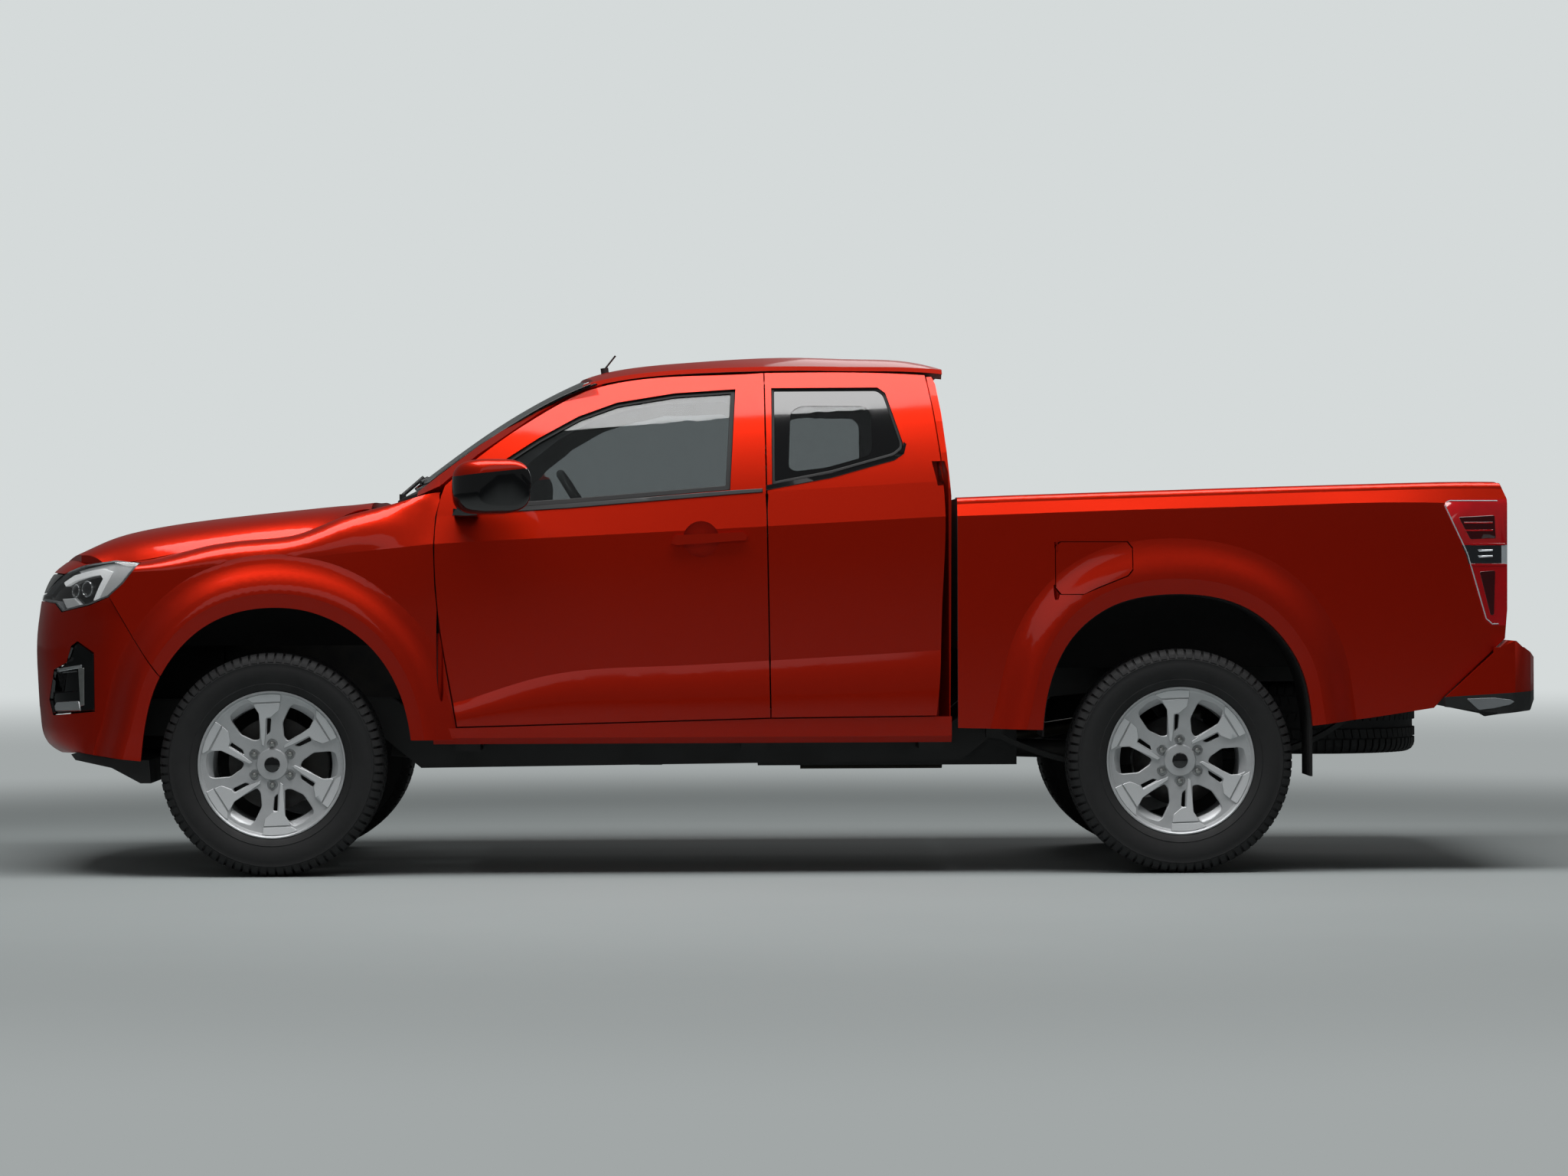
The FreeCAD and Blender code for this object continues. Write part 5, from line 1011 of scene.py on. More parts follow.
def dress_wheels():
    """The four wheels on their bodies, and the spare."""
    tyre = tyre_shape()
    rims = {"front": wheel_shape(True), "rear": wheel_shape(False)}
    rim_finishes = [SILVER, FACED, IRON, GLOSS_BLACK, ZINC]
    for axle, x in (("front", FRONT_AXLE_X), ("rear", REAR_AXLE_X)):
        for side, sign in (("left", 1), ("right", -1)):
            name = axle + "_" + side
            place = Matrix.Translation((x, -sign * WHEEL_Y, AXLE_Z))
            if sign < 0:
                place = place @ Matrix.Rotation(math.pi, 4, "Z")
            for base, shape, finishes, slot, angle in (("tyre_", tyre, [TYRE], "tyre", 30),
                                                       ("rim_", rims[axle], rim_finishes, "alloy", 32)):
                own = Shape()
                own.take(shape.verts, shape.faces, 0, place)
                own.picks = list(shape.picks)
                own.fit("full_" + base + name, finishes, "wheel_" + name, slot, base + name, angle=angle)
    steel = Shape()
    for profile, steps in ((SPARE_DISH, 72), (SPARE_BARREL, 72), (SPARE_STAY, 24)):
        turned(steel, profile, steps)
    spare = Shape()
    lay = Matrix.Translation(SPARE_AT) @ Matrix.Rotation(math.pi / 2, 4, "X")
    spare.take(tyre.verts, tyre.faces, 0, lay)
    spare.take(steel.verts, steel.faces, 1, lay)
    block(spare, (1895, -352, 700), (1975, 352, 733), 2, 1)
    spare.fit("spare_wheel_full", [TYRE, FRAME_BLACK], "chassis", "tyre", "spare_wheel")


# Lamps

# Outlines in the side view; the front end of the headlamp is wrapped round the nose
LAMP_OUTLINE = [(-2577, 950), (-2577, 970), (-2559, 974), (-2512, 1018), (-2474, 1048), (-2380, 1076),
                (-2280, 1090), (-2192, 1081), (-2248, 1010), (-2301, 964), (-2370, 938), (-2476, 914),
                (-2504, 942), (-2559, 949)]
LAMP_BAND = [(-2423, 1052), (-2316, 1076), (-2268, 1082), (-2206, 1074), (-2252, 1018), (-2306, 962),
             (-2350, 950), (-2290, 1050), (-2316, 1062), (-2407, 1042)]
LAMP_BAR = [(-2482, 1014), (-2440, 1038), (-2369, 1054), (-2321, 1062), (-2286, 1051), (-2300, 1027),
            (-2342, 953), (-2360, 952), (-2323, 1027), (-2332, 1040), (-2369, 1035), (-2433, 1018),
            (-2471, 1000)]
LAMP_CHIP = [(-2486, 957), (-2436, 960), (-2410, 936), (-2466, 922)]
# Projector eyes: x, z and radius
LAMP_EYES = ((-2392, 992, 22), (-2438, 985, 17))
EYE_DEPTH, EYE_BULGE = 12, 8
# Run along the curve at which the lamp's inner end stands
LAMP_START = 17
LAMP_CURVE = [(-2580, -430), (-2565, -520), (-2551, -560), (-2538, -600), (-2522, -640), (-2501, -680),
              (-2473, -720), (-2439, -760), (-2395, -800), (-2338, -840), (-2262, -868), (-2170, -884)]
LAMP_FINISHES = [GLOSS_BLACK, SATIN_GREY_AND_HIGHLIGHT, BRIGHT, OPAL_PAINTED_GLOW, SMOKED, STIPPLED_GLOW]
# Parts of the lamp's inside: outline, lift, thickness, step, chamfer, finish, corner radius
LAMP_PARTS = ((LAMP_BAND, -12, 13, 12, 2, 5, 3), (LAMP_BAR, -7, 16, 8, 1.5, 3, 2),
              (LAMP_CHIP, -10, 14, 12, 2, 5, 3))
BEZEL_OUTLINE = [(-2415, 808), (-2356, 770), (-2354, 572), (-2511, 556), (-2527, 606), (-2505, 710),
                 (-2456, 736), (-2439, 792)]
BEZEL_POCKET = [(-2504, 696), (-2418, 706), (-2416, 640), (-2514, 630)]
BEZEL_CURVE = [(-2594, -480), (-2566, -580), (-2528, -672), (-2466, -740), (-2388, -806), (-2318, -850),
               (-2240, -880)]
# Bars round the bezel's pocket: outline, lift, thickness, chamfer, finish, corner radius
BEZEL_BARS = (([(-2511, 582), (-2501, 598), (-2411, 604), (-2405, 570), (-2506, 566)], 3, 10, 2, 1, 3),
              ([(-2413, 719), (-2391, 719), (-2391, 590), (-2406, 586)], 4, 10, 2, 2, 3),
              ([(-2504, 716), (-2400, 730), (-2400, 719), (-2495, 703)], 3, 8, 1.5, 1, 2))


def bulged(place, middle, radius):
    """place() for an eye's lens: foremost in its middle, falling back towards its rim."""
    def put(u, v, depth):
        share = math.dist((u, v), middle) / radius
        return place(u, v, depth + EYE_DEPTH + EYE_BULGE * share ** 2)
    return put


def front_lamps():
    """Headlamps, each a clear cover over a dark chamber with its parts, and the fog lamp bezels."""
    lamp = Wrap(["headlamps"], LAMP_CURVE)
    outline = lamp.flat(LAMP_OUTLINE)
    for i in (0, 1):
        outline[i] = (LAMP_START, outline[i][1])
    cover = Shape()
    plate(cover, outline, lamp.place(), 3, step=14, edge=1.0)
    inner = Shape()
    rim = shifted(anticlockwise(outline), 6)
    plate(inner, outline, lamp.place(-3.2), 22, holes=[rim], step=14, pick=1)
    plate(inner, outline, lamp.place(-25), 7, step=14)
    for part, lift, thick, step, edge, pick, soft in LAMP_PARTS:
        plate(inner, lamp.flat(part), lamp.place(lift), thick, step=step, edge=edge, pick=pick, round_by=soft)
    for x, z, r in LAMP_EYES:
        run = lamp.run_of(x, z)
        eye = circle(r, 24, run, z)
        plate(inner, circle(r + 6, 24, run, z), lamp.place(-15), 9, holes=[eye], step=12, edge=1.5, pick=2)
        plate(inner, eye, bulged(lamp.place(), (run, z), r), 12, step=6, pick=4)
    bezel = Wrap(["fog_lamp_bezels", "front_bumper"], BEZEL_CURVE)
    fog = Shape()
    for part, lift, thick, edge, pick, soft in BEZEL_BARS:
        plate(fog, bezel.flat(part), bezel.place(lift), thick, step=12, edge=edge, pick=pick, round_by=soft)
    pocket = bezel.flat(BEZEL_POCKET)
    plate(fog, bezel.flat(BEZEL_OUTLINE), bezel.place(), 26, holes=[pocket], step=16, edge=3, round_by=5)
    plate(fog, pocket, bezel.place(-22), 6, step=14)
    for side in SIDES:
        for shape, name, finishes, slot, node in (
                (cover, "headlamp_cover_", [CLEAR], "lamp_clear", "headlamps"),
                (inner, "headlamp_inside_", LAMP_FINISHES, "lamp_clear", "headlamps"),
                (fog, "fog_bezel_", [GLOSS_BLACK, BRIGHT, ZINC], "gloss_black", "fog_lamp_bezels")):
            seat_on(shape.for_side(side).build(name + side, finishes), "chassis", slot, node)


# The nose skin: foremost x at each height, and how far it falls back to each side
NOSE_LINE = [(400, -2520), (457, -2607), (593, -2631), (763, -2640), (907, -2630), (985, -2612),
             (1052, -2572), (1115, -2490)]
NOSE_BACK = [(0, 0), (250, 9), (480, 42), (672, 108), (806, 252), (850, 322), (880, 410)]
# Above this height the nose narrows by this share for each millimetre
NARROWS_FROM, NARROWS_BY = 1040, 0.0011
# Outlines seen from the front, as (y, z) on the right half
STRIP_LOW = [(0, 1048), (425, 1048), (600, 1046), (655, 1044), (680, 1056), (722, 1067)]
STRIP_TOP = [(0, 1068), (200, 1074), (360, 1084), (480, 1092), (600, 1089), (640, 1084), (680, 1078),
             (722, 1080)]
WING_LOW = [(446, 974), (520, 977), (560, 985), (600, 1003), (640, 1031)]
WING_END = [(436, 1043), (444, 985)]
# Condenser: its box and its fins
CONDENSER_LOW, CONDENSER_HIGH = (-2470, -560, 470), (-2440, 560, 1040)
FINS, FIN_PITCH, FIN_FROM = 34, 16, 486
# Inner wing walls behind the front arches: from and to
APRON_X, APRON_Y, APRON_Z = (-2290, -1950), (392, 398), (425, 900)


def nose_skin(back):
    """place() for plate(): points seen from the front laid on the nose, set back into it."""
    def put(y, z, depth):
        narrowed = 1 - max(0.0, z - NARROWS_FROM) * NARROWS_BY
        return Vector((eased(NOSE_LINE, z) + eased(NOSE_BACK, abs(y) / narrowed) + back + depth, y, z))
    return put


def across(points, s):
    """Points of the right half, or with s = -1 their mirror images."""
    return [(s * y, z) for y, z in points]


def nose_fill():
    """Painted strip under the bonnet's edge, wings from grille to lamps, condenser, inner wing walls."""
    strip = Shape()
    low = across(STRIP_LOW[:0:-1], -1) + STRIP_LOW
    top = STRIP_TOP[::-1] + across(STRIP_TOP[1:], -1)
    plate(strip, low + top, nose_skin(1.0), 4, step=18, edge=1.5)
    strip.fit("bonnet_strip", [PAINT], "chassis", "body_paint")
    black = Shape()
    wing = [(y, z + 1) for y, z in WING_LOW] + [(y, z - 3) for y, z in STRIP_LOW[3:1:-1]] + WING_END
    for s in (-1, 1):
        plate(black, across(wing, s), nose_skin(3.0), 4, step=16, edge=1.5)
    black.fit("grille_wings", [GLOSS_BLACK], "chassis", "gloss_black", "grille")
    core = Shape()
    block(core, CONDENSER_LOW, CONDENSER_HIGH, 6)
    for k in range(FINS):
        z = FIN_FROM + FIN_PITCH * k
        block(core, (-2474, -540, z), (-2466, 540, z + 5), 1.5, 1)
    core.fit("condenser", [LINING, FRAME_BLACK], "chassis", "cast", "radiator")
    apron = Shape()
    for s in (-1, 1):
        near, far = sorted(s * y for y in APRON_Y)
        block(apron, (APRON_X[0], near, APRON_Z[0]), (APRON_X[1], far, APRON_Z[1]), 2)
    apron.fit("inner_aprons", [LINING], "chassis", "rubber")


# Tail lamp in the side view: rim, height of its smoked band, and where its clear end starts
TAIL_EDGE = [(2510, 1274), (2322, 1275), (2310, 1270), (2304, 1259), (2382, 1093), (2447, 869),
             (2468, 850), (2510, 851)]
TAIL_MID = (1056, 1122)
TAIL_CLEAR_X = 2500
TAIL_RIM_END = 2509.5
TAIL_DARK = ([(2352, 1218), (2476, 1224), (2480, 1146), (2392, 1142)],
             [(2424, 1030), (2478, 1034), (2474, 882), (2462, 880)])
# What is seen in it: outline, lift, step, chamfer, finish and corner radius
TAIL_PARTS = [(outline, 0.8, 18, 0.6, 0, 6) for outline in TAIL_DARK]
TAIL_PARTS += [([(2372, z), (2470, z), (2470, z + 5), (2370, z + 5)], 1.4, 20, 0.5, 1, 0)
               for z in (1196, 1170)]
TAIL_PARTS += [([(2422, z), (2470, z + 3), (2470, z + 9), (2418, z + 8)], 1.2, 20, 0.5, 3, 2)
               for z in (1078, 1098)]
TAIL_PARTS += [([(2394, high), (2512, high), (2512, low), (2392, low)], 1.0, 20, 0.5, 1, 0)
               for low, high in ((1058, 1050), (1128, 1121))]


def tail_pick(c, n):
    """Ruby above and below, smoked in the middle band, clear at its outer end."""
    if not TAIL_MID[0] < c.z < TAIL_MID[1]:
        return 0
    return 2 if c.x > TAIL_CLEAR_X else 1


def tail_lamps():
    """Ruby lamp with a smoked middle band, its darker chambers, its bars and its pale rim."""
    cuts = [((0, 0, z), (0, 0, 1)) for z in TAIL_MID] + [((TAIL_CLEAR_X, 0, 0), (1, 0, 0))]
    split_skin("tail_lamps", "tail_lamp_skin", cuts, [RUBY, SMOKED, LENS], tail_pick, "lamp_red", 30)
    lamp = on_side("tail_lamps")
    s = Shape()
    for outline, lift, step, edge, pick, soft in TAIL_PARTS:
        plate(s, outline, raised(lamp, lift), 2, step=step, edge=edge, pick=pick, round_by=soft)
    tube(s, [lamp(u, v, 1.0) for u, v in divided(TAIL_EDGE, 25) if u < TAIL_RIM_END], 2.4, 6, 3)
    for side in SIDES:
        s.for_side(side).fit("tail_lamp_inside_" + side, [RUBY_DARK, RUBY, ZINC, LENS], "chassis", "lamp_red")


# Glass borders, seals and black strips

# Clear parts of the front and rear side glass
FRONT_SIGHT = [(-1000, 1268), (-708, 1290), (-160, 1332), (-150, 1615), (-180, 1632), (-395, 1622),
               (-513, 1603), (-632, 1566), (-750, 1500), (-838, 1430)]
REAR_SIGHT = [(48, 1400), (70, 1387), (180, 1400), (322, 1440), (337, 1462), (335, 1590), (312, 1614),
              (92, 1616), (56, 1596)]
# Strips along the waist, and the triangle ahead of the front glass
FRONT_BELT = [(-1112, 1240), (-708, 1263), (-154, 1307), (-42, 1315), (-42, 1328), (-150, 1322),
              (-708, 1280), (-1106, 1256)]
REAR_BELT = [(-30, 1322), (197, 1364), (413, 1424), (446, 1446), (455, 1480), (446, 1488), (436, 1462),
             (408, 1440), (197, 1381), (-30, 1339)]
SAIL = [(-1092, 1254), (-1010, 1259), (-1000, 1384), (-1020, 1370)]
# Plan view of the windscreen's black border up the sides and along the top: outer and inner edge, left half
BORDER_OUT = [(-1180, -684), (-700, -684), (-640, -666), (-624, 0)]
BORDER_IN = [(-658, 0), (-668, -572), (-720, -589), (-840, -622), (-1000, -650), (-1180, -664)]
BORDER_LIFT = 2.8


def other_half(points):
    """Points in plan view, mirrored to the other half of the truck."""
    return [(x, -y) for x, y in points]


def screen_border():
    """Black enamel fired on the windscreen's edge, over the flange that carries it."""
    tree = tree_of(["windscreen"])

    def on_screen(x, y, depth):
        hit = tree.ray_cast(Vector((x, y, ABOVE_Z)), Vector((0, 0, -1)))[0]
        if hit is None:
            hit = tree.find_nearest(Vector((x, y, SCREEN_Z)))[0]
        return Vector((x, y, hit.z + BORDER_LIFT - depth))

    outline = BORDER_OUT + other_half(BORDER_OUT[-2::-1]) + other_half(BORDER_IN[:0:-1]) + BORDER_IN
    border = Shape()
    plate(border, outline, on_screen, 1.4, step=20, edge=0.4)
    border.fit("windscreen_border", [GLOSS_BLACK], "chassis", "gloss_black")


def window_trim():
    """Seals and dark bands round the side glass, and the strips under it, on the doors that carry them."""
    glass_front, glass_rear = on_side("glass_front_left"), on_side("glass_rear_left")
    front = Shape()
    wind = anticlockwise(FRONT_WINDOW)
    seal = [shifted(rounded(wind, 14), 17)]
    plate(front, wind, raised(glass_front, 5), 5, holes=seal, step=22, edge=2)
    plate(front, shifted(wind, -2), raised(glass_front, -7), 3, holes=[FRONT_SIGHT], step=24, pick=2)
    plate(front, FRONT_BELT, raised(on_side("door_front_left"), 3.5), 5, step=24, edge=2, pick=1)
    plate(front, SAIL, raised(glass_front, 9), 10, step=22, edge=2, pick=1, round_by=5)
    rear = Shape()
    wind = anticlockwise(REAR_WINDOW)
    plate(rear, wind, raised(glass_rear, 1), 1.0, holes=[rounded(REAR_SIGHT, 26)], step=22, pick=1)
    seal = [shifted(rounded(wind, 14), 10)]
    plate(rear, wind, raised(glass_rear, 6), 6, holes=seal, step=22, edge=2)
    plate(rear, REAR_BELT, raised(on_side("door_rear_left"), 2.5), 4, step=24, edge=1.5, pick=1)
    for side in SIDES:
        for shape, door, finishes in ((front, "front_", [SEAL, GRAINED, TRIM]),
                                      (rear, "rear_", [SEAL, GLOSS_BLACK])):
            trim = shape.for_side(side).build(door + "window_trim_" + side, finishes)
            seat_on(trim, door + "door_" + side, "rubber")


# Seats

# Side views of the pads
SEAT_CUSHION = [(-552, 722), (-566, 800), (-545, 838), (-330, 822), (-150, 800), (-130, 716)]
SEAT_BACK = [(-186, 800), (-160, 900), (-108, 1180), (-74, 1380), (-44, 1428), (-4, 1424), (0, 1390),
             (-44, 1100), (-92, 790), (-150, 764)]
SEAT_HEAD = [(-54, 1474), (-52, 1560), (-38, 1606), (-8, 1616), (30, 1606), (40, 1560), (36, 1480)]
BENCH_CUSHION = [(160, 668), (150, 780), (176, 802), (330, 806), (470, 800), (478, 670)]
BENCH_BACK = [(440, 796), (456, 900), (482, 1180), (496, 1262), (518, 1276), (540, 1270), (540, 1100),
              (528, 760), (450, 756)]
BENCH_SEAMS = [(1, 0.0), (1, -0.42), (1, 0.42)]
# Pads: outline, ends, share drawn in at the ends, voxel and most swelling in metres, seams as (axis, place),
# and their depth and width
FRONT_PADS = {
    "seat_cushion_left": (SEAT_CUSHION, -590, -150, 0.10, 0.009, 0.012,
                          [(1, -0.500), (1, -0.240), (0, -0.42)], 0.006, 0.008),
    "seat_back_left": (SEAT_BACK, -582, -158, 0.12, 0.009, 0.012,
                       [(1, -0.490), (1, -0.250), (2, 1.06)], 0.006, 0.008),
    "seat_head_left": (SEAT_HEAD, -486, -254, 0.12, 0.008, 0.008, [], 0.006, 0.008)}
BENCH_PADS = {
    "bench_cushion": (BENCH_CUSHION, -615, 615, 0.05, 0.012, 0.010, BENCH_SEAMS, 0.006, 0.009),
    "bench_back": (BENCH_BACK, -615, 615, 0.05, 0.012, 0.006, BENCH_SEAMS, 0.005, 0.009)}
PAD_RINGS = 9
PRESSURE = 4.0
SETTLING_FRAMES = 20


def pad_form(name, outline, y0, y1, squeeze):
    """Closed cushion form: a side-view outline swept across, drawn in at both ends."""
    loop = rounded(outline, 40)
    mid_x = sum(p[0] for p in loop) / len(loop)
    mid_z = sum(p[1] for p in loop) / len(loop)
    rings = []
    for i in range(PAD_RINGS):
        t = i / (PAD_RINGS - 1)
        k = 1.0 - squeeze * abs(2 * t - 1) ** 5
        y = y0 + (y1 - y0) * t
        rings.append([(mid_x + (x - mid_x) * k, y, mid_z + (z - mid_z) * k) for x, z in loop])
    return outward(Shape().skin(rings).build(name, [CLOTH], 60))


def values_of(mesh, what):
    """A vertex value of a mesh, co or normal, as rows of three numbers."""
    flat = np.zeros(len(mesh.vertices) * 3)
    mesh.vertices.foreach_get(what, flat)
    return flat.reshape(-1, 3)


def evaluated(obj):
    """The mesh of an object with its modifiers applied, which are then taken off."""
    graph = bpy.context.evaluated_depsgraph_get()
    mesh = bpy.data.meshes.new_from_object(obj.evaluated_get(graph))
    obj.modifiers.clear()
    return mesh


def puff(obj, voxel, most):
    """Cloth-simulated swelling of a cushion form, applied to its mesh."""
    remesh = obj.modifiers.new("remesh", "REMESH")
    remesh.mode = "VOXEL"
    remesh.voxel_size = voxel
    obj.data = evaluated(obj)
    rest = values_of(obj.data, "co")
    cloth = obj.modifiers.new("cloth", "CLOTH")
    cloth.settings.use_pressure = True
    cloth.settings.uniform_pressure_force = PRESSURE
    cloth.settings.effector_weights.gravity = 0
    cloth.settings.quality = 4
    for f in range(SETTLING_FRAMES):
        bpy.context.scene.frame_set(f + 1)
    swollen = evaluated(obj)
    move = values_of(swollen, "co") - rest
    size = np.linalg.norm(move, axis=1, keepdims=True)
    move *= np.minimum(1.0, most / np.maximum(size, 1e-9))
    obj.data.vertices.foreach_set("co", (rest + move).reshape(-1))
    bpy.data.meshes.remove(swollen)
    bpy.context.scene.frame_set(1)
    obj.data.shade_smooth()
    obj.data.update()


def sew(obj, seams, depth, width):
    """Press seams into a pad: each is (axis, place in metres)."""
    co = values_of(obj.data, "co")
    no = values_of(obj.data, "normal")
    for axis, at in seams:
        d = np.abs(co[:, axis] - at)
        co -= no * (depth * np.exp(-(d / width) ** 2))[:, None]
    obj.data.vertices.foreach_set("co", co.reshape(-1))
    obj.data.update()


def pads(table):
    """The pads of a table, swollen and sewn."""
    made = []
    for name, (outline, y0, y1, squeeze, voxel, most, seams, depth, width) in table.items():
        obj = pad_form(name, outline, y0, y1, squeeze)
        puff(obj, voxel, most)
        sew(obj, seams, depth, width)
        made.append(obj)
    return made


def mirrored_copy(obj, name):
    """A copy of a piece on the other side of the truck."""
    mesh = obj.data.copy()
    mesh.transform(Matrix.Scale(-1, 4, (0, 1, 0)))
    mesh.flip_normals()
    return linked(name, mesh)


def seats():
    """Padded front seats and rear bench, with their bases, rails and head rest stays."""
    pieces = []
    for left in pads(FRONT_PADS):
        pieces += [left, mirrored_copy(left, left.name.replace("left", "right"))]
    pieces += pads(BENCH_PADS)
    for part in pieces:
        node, fill = ("rear_bench", 0.55) if part.name.startswith("bench") else ("front_seats", 0.62)
        seat_on(part, "chassis", "seat_cloth", node)
    base = Shape()
    for s in (-1, 1):
        for y in (-560, -180):
            block(base, (-540, s * y - 20, 545), (-160, s * y + 20, 640), 5)
        y0, y1 = sorted((s * 150, s * 590))
        block(base, (-552, y0, 636), (-140, y1, 724), 22)
        for y in (-420, -320):
            tube(base, [(-2, s * y, 1415), (-4, s * y, 1490)], 6, pick=1)
        y0, y1 = sorted((s * 600, s * 586))
        block(base, (-480, y0, 660), (-190, y1, 740), 6)
    block(base, (170, -610, 545), (470, 610, 668), 14)
    base.fit("seat_bases", [TRIM, ZINC], "chassis", "interior", "front_seats", "rear_bench", angle=35)


# Steering wheel and cab fittings

STEER_R = 172
# Hub: (place along the axis, radius)
STEER_HUB = ((-46, 40), (-40, 60), (-14, 64), (-4, 56), (0, 30), (1, 6))
# Boxes on the dashboard and console, and the inside mirror: low corner, high corner, chamfer, finish
DASH_BOXES = [((-900, -110, 1060), (-872, 110, 1200), 6, 0), ((-874, -100, 1080), (-868, 100, 1190), 3, 1),
              ((-905, -520, 1236), (-800, -220, 1290), 24, 0), ((-802, -500, 1244), (-796, -240, 1282), 4, 1),
              ((-330, -30, 858), (-300, 30, 930), 10, 2), ((-345, -26, 920), (-285, 26, 965), 18, 2)]
VENTS_Y = (-650, -160, 160, 650)
VENT_SLATS = 4
MIRROR_BOXES = [((-640, -120, 1622), (-612, 120, 1690), 12, 0), ((-614, -112, 1630), (-610, 112, 1682), 3, 1)]


def cabin():
    """Steering wheel on its tilted axis, the fittings of dashboard and console, and the inside mirror."""
    axis = Vector((math.cos(STEER_TILT), 0, math.sin(STEER_TILT)))
    turn = Matrix.Translation(STEER_CENTRE) @ Matrix.Rotation(-STEER_TILT, 4, "Y")
    wheel = Shape()
    tube(wheel, [turn @ Vector((0, y, z)) for y, z in circle(STEER_R)], 15.5, 12, 0, True)
    for a in (math.radians(8), math.radians(172), math.radians(270)):
        y, z = STEER_R * math.cos(a), STEER_R * math.sin(a)
        spoke = [turn @ Vector((-24 * (1 - t), y * t, z * t)) for t in (0.2, 0.5, 0.8, 0.98)]
        tube(wheel, spoke, [17, 14, 12, 11], 8, 1, False, 0.7)
    hub = Shape().skin([[(x, y, 0.86 * z) for y, z in circle(r, 24)] for x, r in STEER_HUB])
    wheel.take(hub.verts, hub.faces, 1, turn)
    tube(wheel, [STEER_CENTRE - axis * 61, STEER_CENTRE - axis * 40], 19, 16, 1)
    wheel.fit("steering_wheel_full", [HIDE, TRIM], "steering_wheel", "interior", "steering_wheel", angle=40)
    dash = Shape()
    for low, high, soft, pick in DASH_BOXES:
        block(dash, low, high, soft, pick)
    for y in VENTS_Y:
        block(dash, (-850, y - 52, 1150), (-828, y + 52, 1212), 8)
        for k in range(VENT_SLATS):
            block(dash, (-832, y - 44, 1160 + 12 * k), (-822, y + 44, 1164 + 12 * k), 1.5, 2)
    dash.fit("dashboard_fittings", [TRIM, GLOSS_BLACK, GRAINED], "chassis", "interior", angle=35)
    inside_mirror = Shape()
    for low, high, soft, pick in MIRROR_BOXES:
        block(inside_mirror, low, high, soft, pick)
    tube(inside_mirror, [(-630, 0, 1680), (-668, 0, 1712)], 8)
    inside_mirror.fit("inside_mirror", [TRIM, MIRROR_GLASS], "chassis", "interior", angle=35)


# Camera, light and floor

WALL = "#D5DADA"
# Tone of the floor between the truck's surroundings and the wall
FLOOR_FAR = "#A2A7A7"
FLOOR_RADIUS = 60
# Just below the ground plane, in metres
FLOOR_Z = -0.0005
# Distances in metres over which the floor fades into its far tone, and that into the wall
FADE_NEAR, FADE_FAR = (4.0, 8.0), (11.0, 24.0)
AIR_STRENGTH = 0.16
# Lights: place, aim, size in metres and power in watts
LIGHTS = (("ceiling_light", (0, -1.85, 6.4), (0, -1.8, 0), (9.0, 3.3), 700.0),
          ("side_light", (-2.5, -11.0, 5.0), (0, 0, 0.8), (7.0, 3.0), 60.0),
          ("far_light", (3.0, 9.0, 5.2), (0, 0, 1.0), (6.0, 3.0), 80.0))


def seen_directly(tree):
    """1 where floor or wall is looked at, also through glass, 0 where it only lights the truck."""
    rays = add(tree, "ShaderNodeLightPath")
    return maths(tree, "MAXIMUM", rays.outputs["Is Camera Ray"], rays.outputs["Is Transmission Ray"])


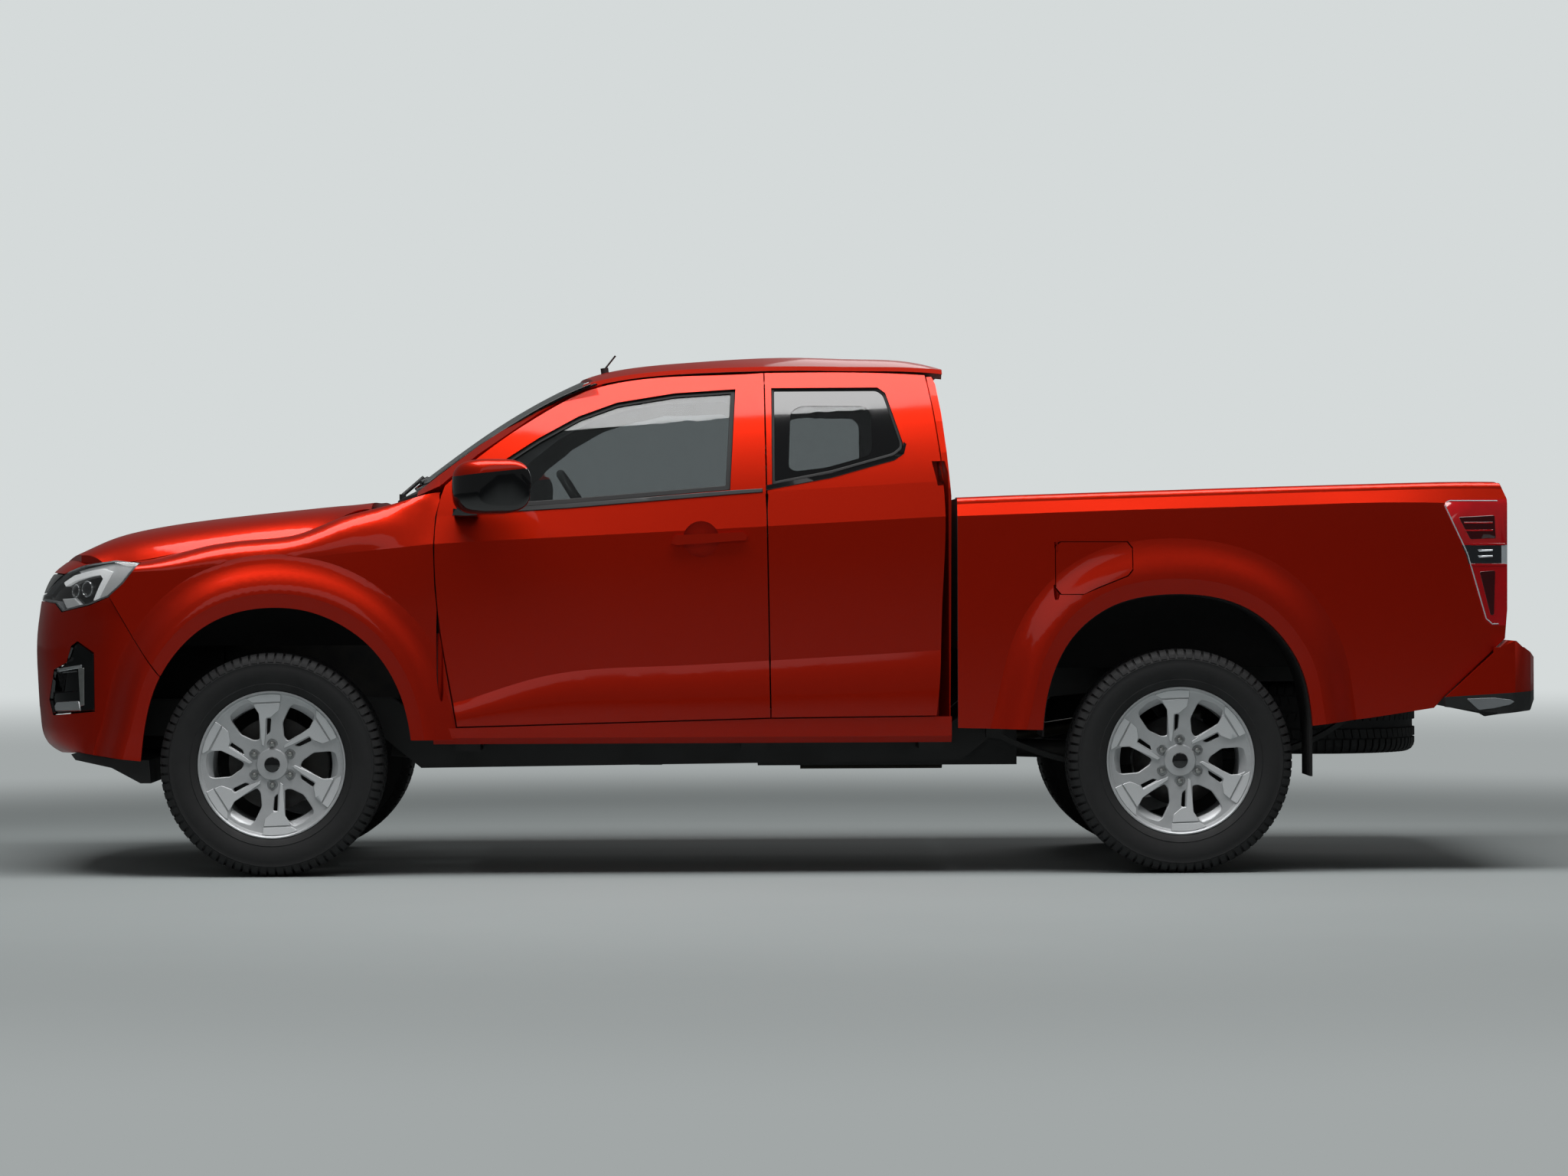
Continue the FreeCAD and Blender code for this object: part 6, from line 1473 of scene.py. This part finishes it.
def floor_finish():
    """Grey floor paint that runs out into the colour of the wall."""
    mat = finish("studio_paint", "#8B9191", 0.8, "#868C8C", patch_mm=1500, mottle=0.9)
    tree = mat.node_tree
    place = found(tree, "TEX_COORD").outputs["Object"]
    away = add(tree, "ShaderNodeVectorMath", {"operation": "LENGTH"}, {0: place}).outputs["Value"]
    near, far = (add(tree, "ShaderNodeMapRange", {"interpolation_type": "SMOOTHSTEP"},
                     {"Value": away, "From Min": low, "From Max": high}).outputs["Result"]
                 for low, high in (FADE_NEAR, FADE_FAR))
    tone = blend(tree, far, FLOOR_FAR, WALL)
    glow = add(tree, "ShaderNodeEmission", None, {"Color": tone, "Strength": 1.0})
    share = maths(tree, "MULTIPLY", near, seen_directly(tree))
    paint = found(tree, "BSDF_PRINCIPLED").outputs["BSDF"]
    both = add(tree, "ShaderNodeMixShader", None, {0: share, 1: paint, 2: glow.outputs[0]})
    tree.links.new(both.outputs[0], found(tree, "OUTPUT_MATERIAL").inputs["Surface"])
    return mat


def stage():
    """Camera of the side view, floor, lights and the air round the truck."""
    scene = bpy.context.scene
    cam = bpy.data.cameras.new("side_camera")
    cam.lens = CAMERA_LENS
    cam.sensor_width = 36.0
    cam.shift_x, cam.shift_y = CAMERA_SHIFT
    cam.clip_end = 200.0
    eye = linked("side_camera", cam)
    eye.location = CAMERA_AT
    eye.rotation_euler = (math.pi / 2, CAMERA_ROLL, 0)
    scene.camera = eye
    floor = bpy.data.meshes.new("studio_floor")
    rim = [(x, y, FLOOR_Z) for x, y in circle(FLOOR_RADIUS, 96)]
    floor.from_pydata(rim, [], [list(range(len(rim)))])
    floor.materials.append(floor_finish())
    ground = linked("studio_floor", floor)
    for name, where, aim, size, power in LIGHTS:
        lamp = bpy.data.lights.new(name, "AREA")
        lamp.shape = "RECTANGLE"
        lamp.size, lamp.size_y = size
        lamp.energy = power
        light = linked(name, lamp)
        light.location = where
        light.rotation_euler = (Vector(aim) - Vector(where)).to_track_quat("-Z", "Y").to_euler()
    world = bpy.data.worlds.new("studio_air")
    world.use_nodes = True
    tree = world.node_tree
    tree.nodes.clear()
    air, wall = (add(tree, "ShaderNodeBackground", None, {"Color": linear(WALL), "Strength": strength})
                 for strength in (AIR_STRENGTH, 1.0))
    both = add(tree, "ShaderNodeMixShader", None,
               {0: seen_directly(tree), 1: air.outputs[0], 2: wall.outputs[0]})
    add(tree, "ShaderNodeOutputWorld", None, {"Surface": both.outputs[0]})
    scene.world = world
    scene.view_settings.view_transform = "Standard"


stage()
dress_body()
dress_wheels()
front_lamps()
nose_fill()
tail_lamps()
window_trim()
screen_border()
seats()
cabin()
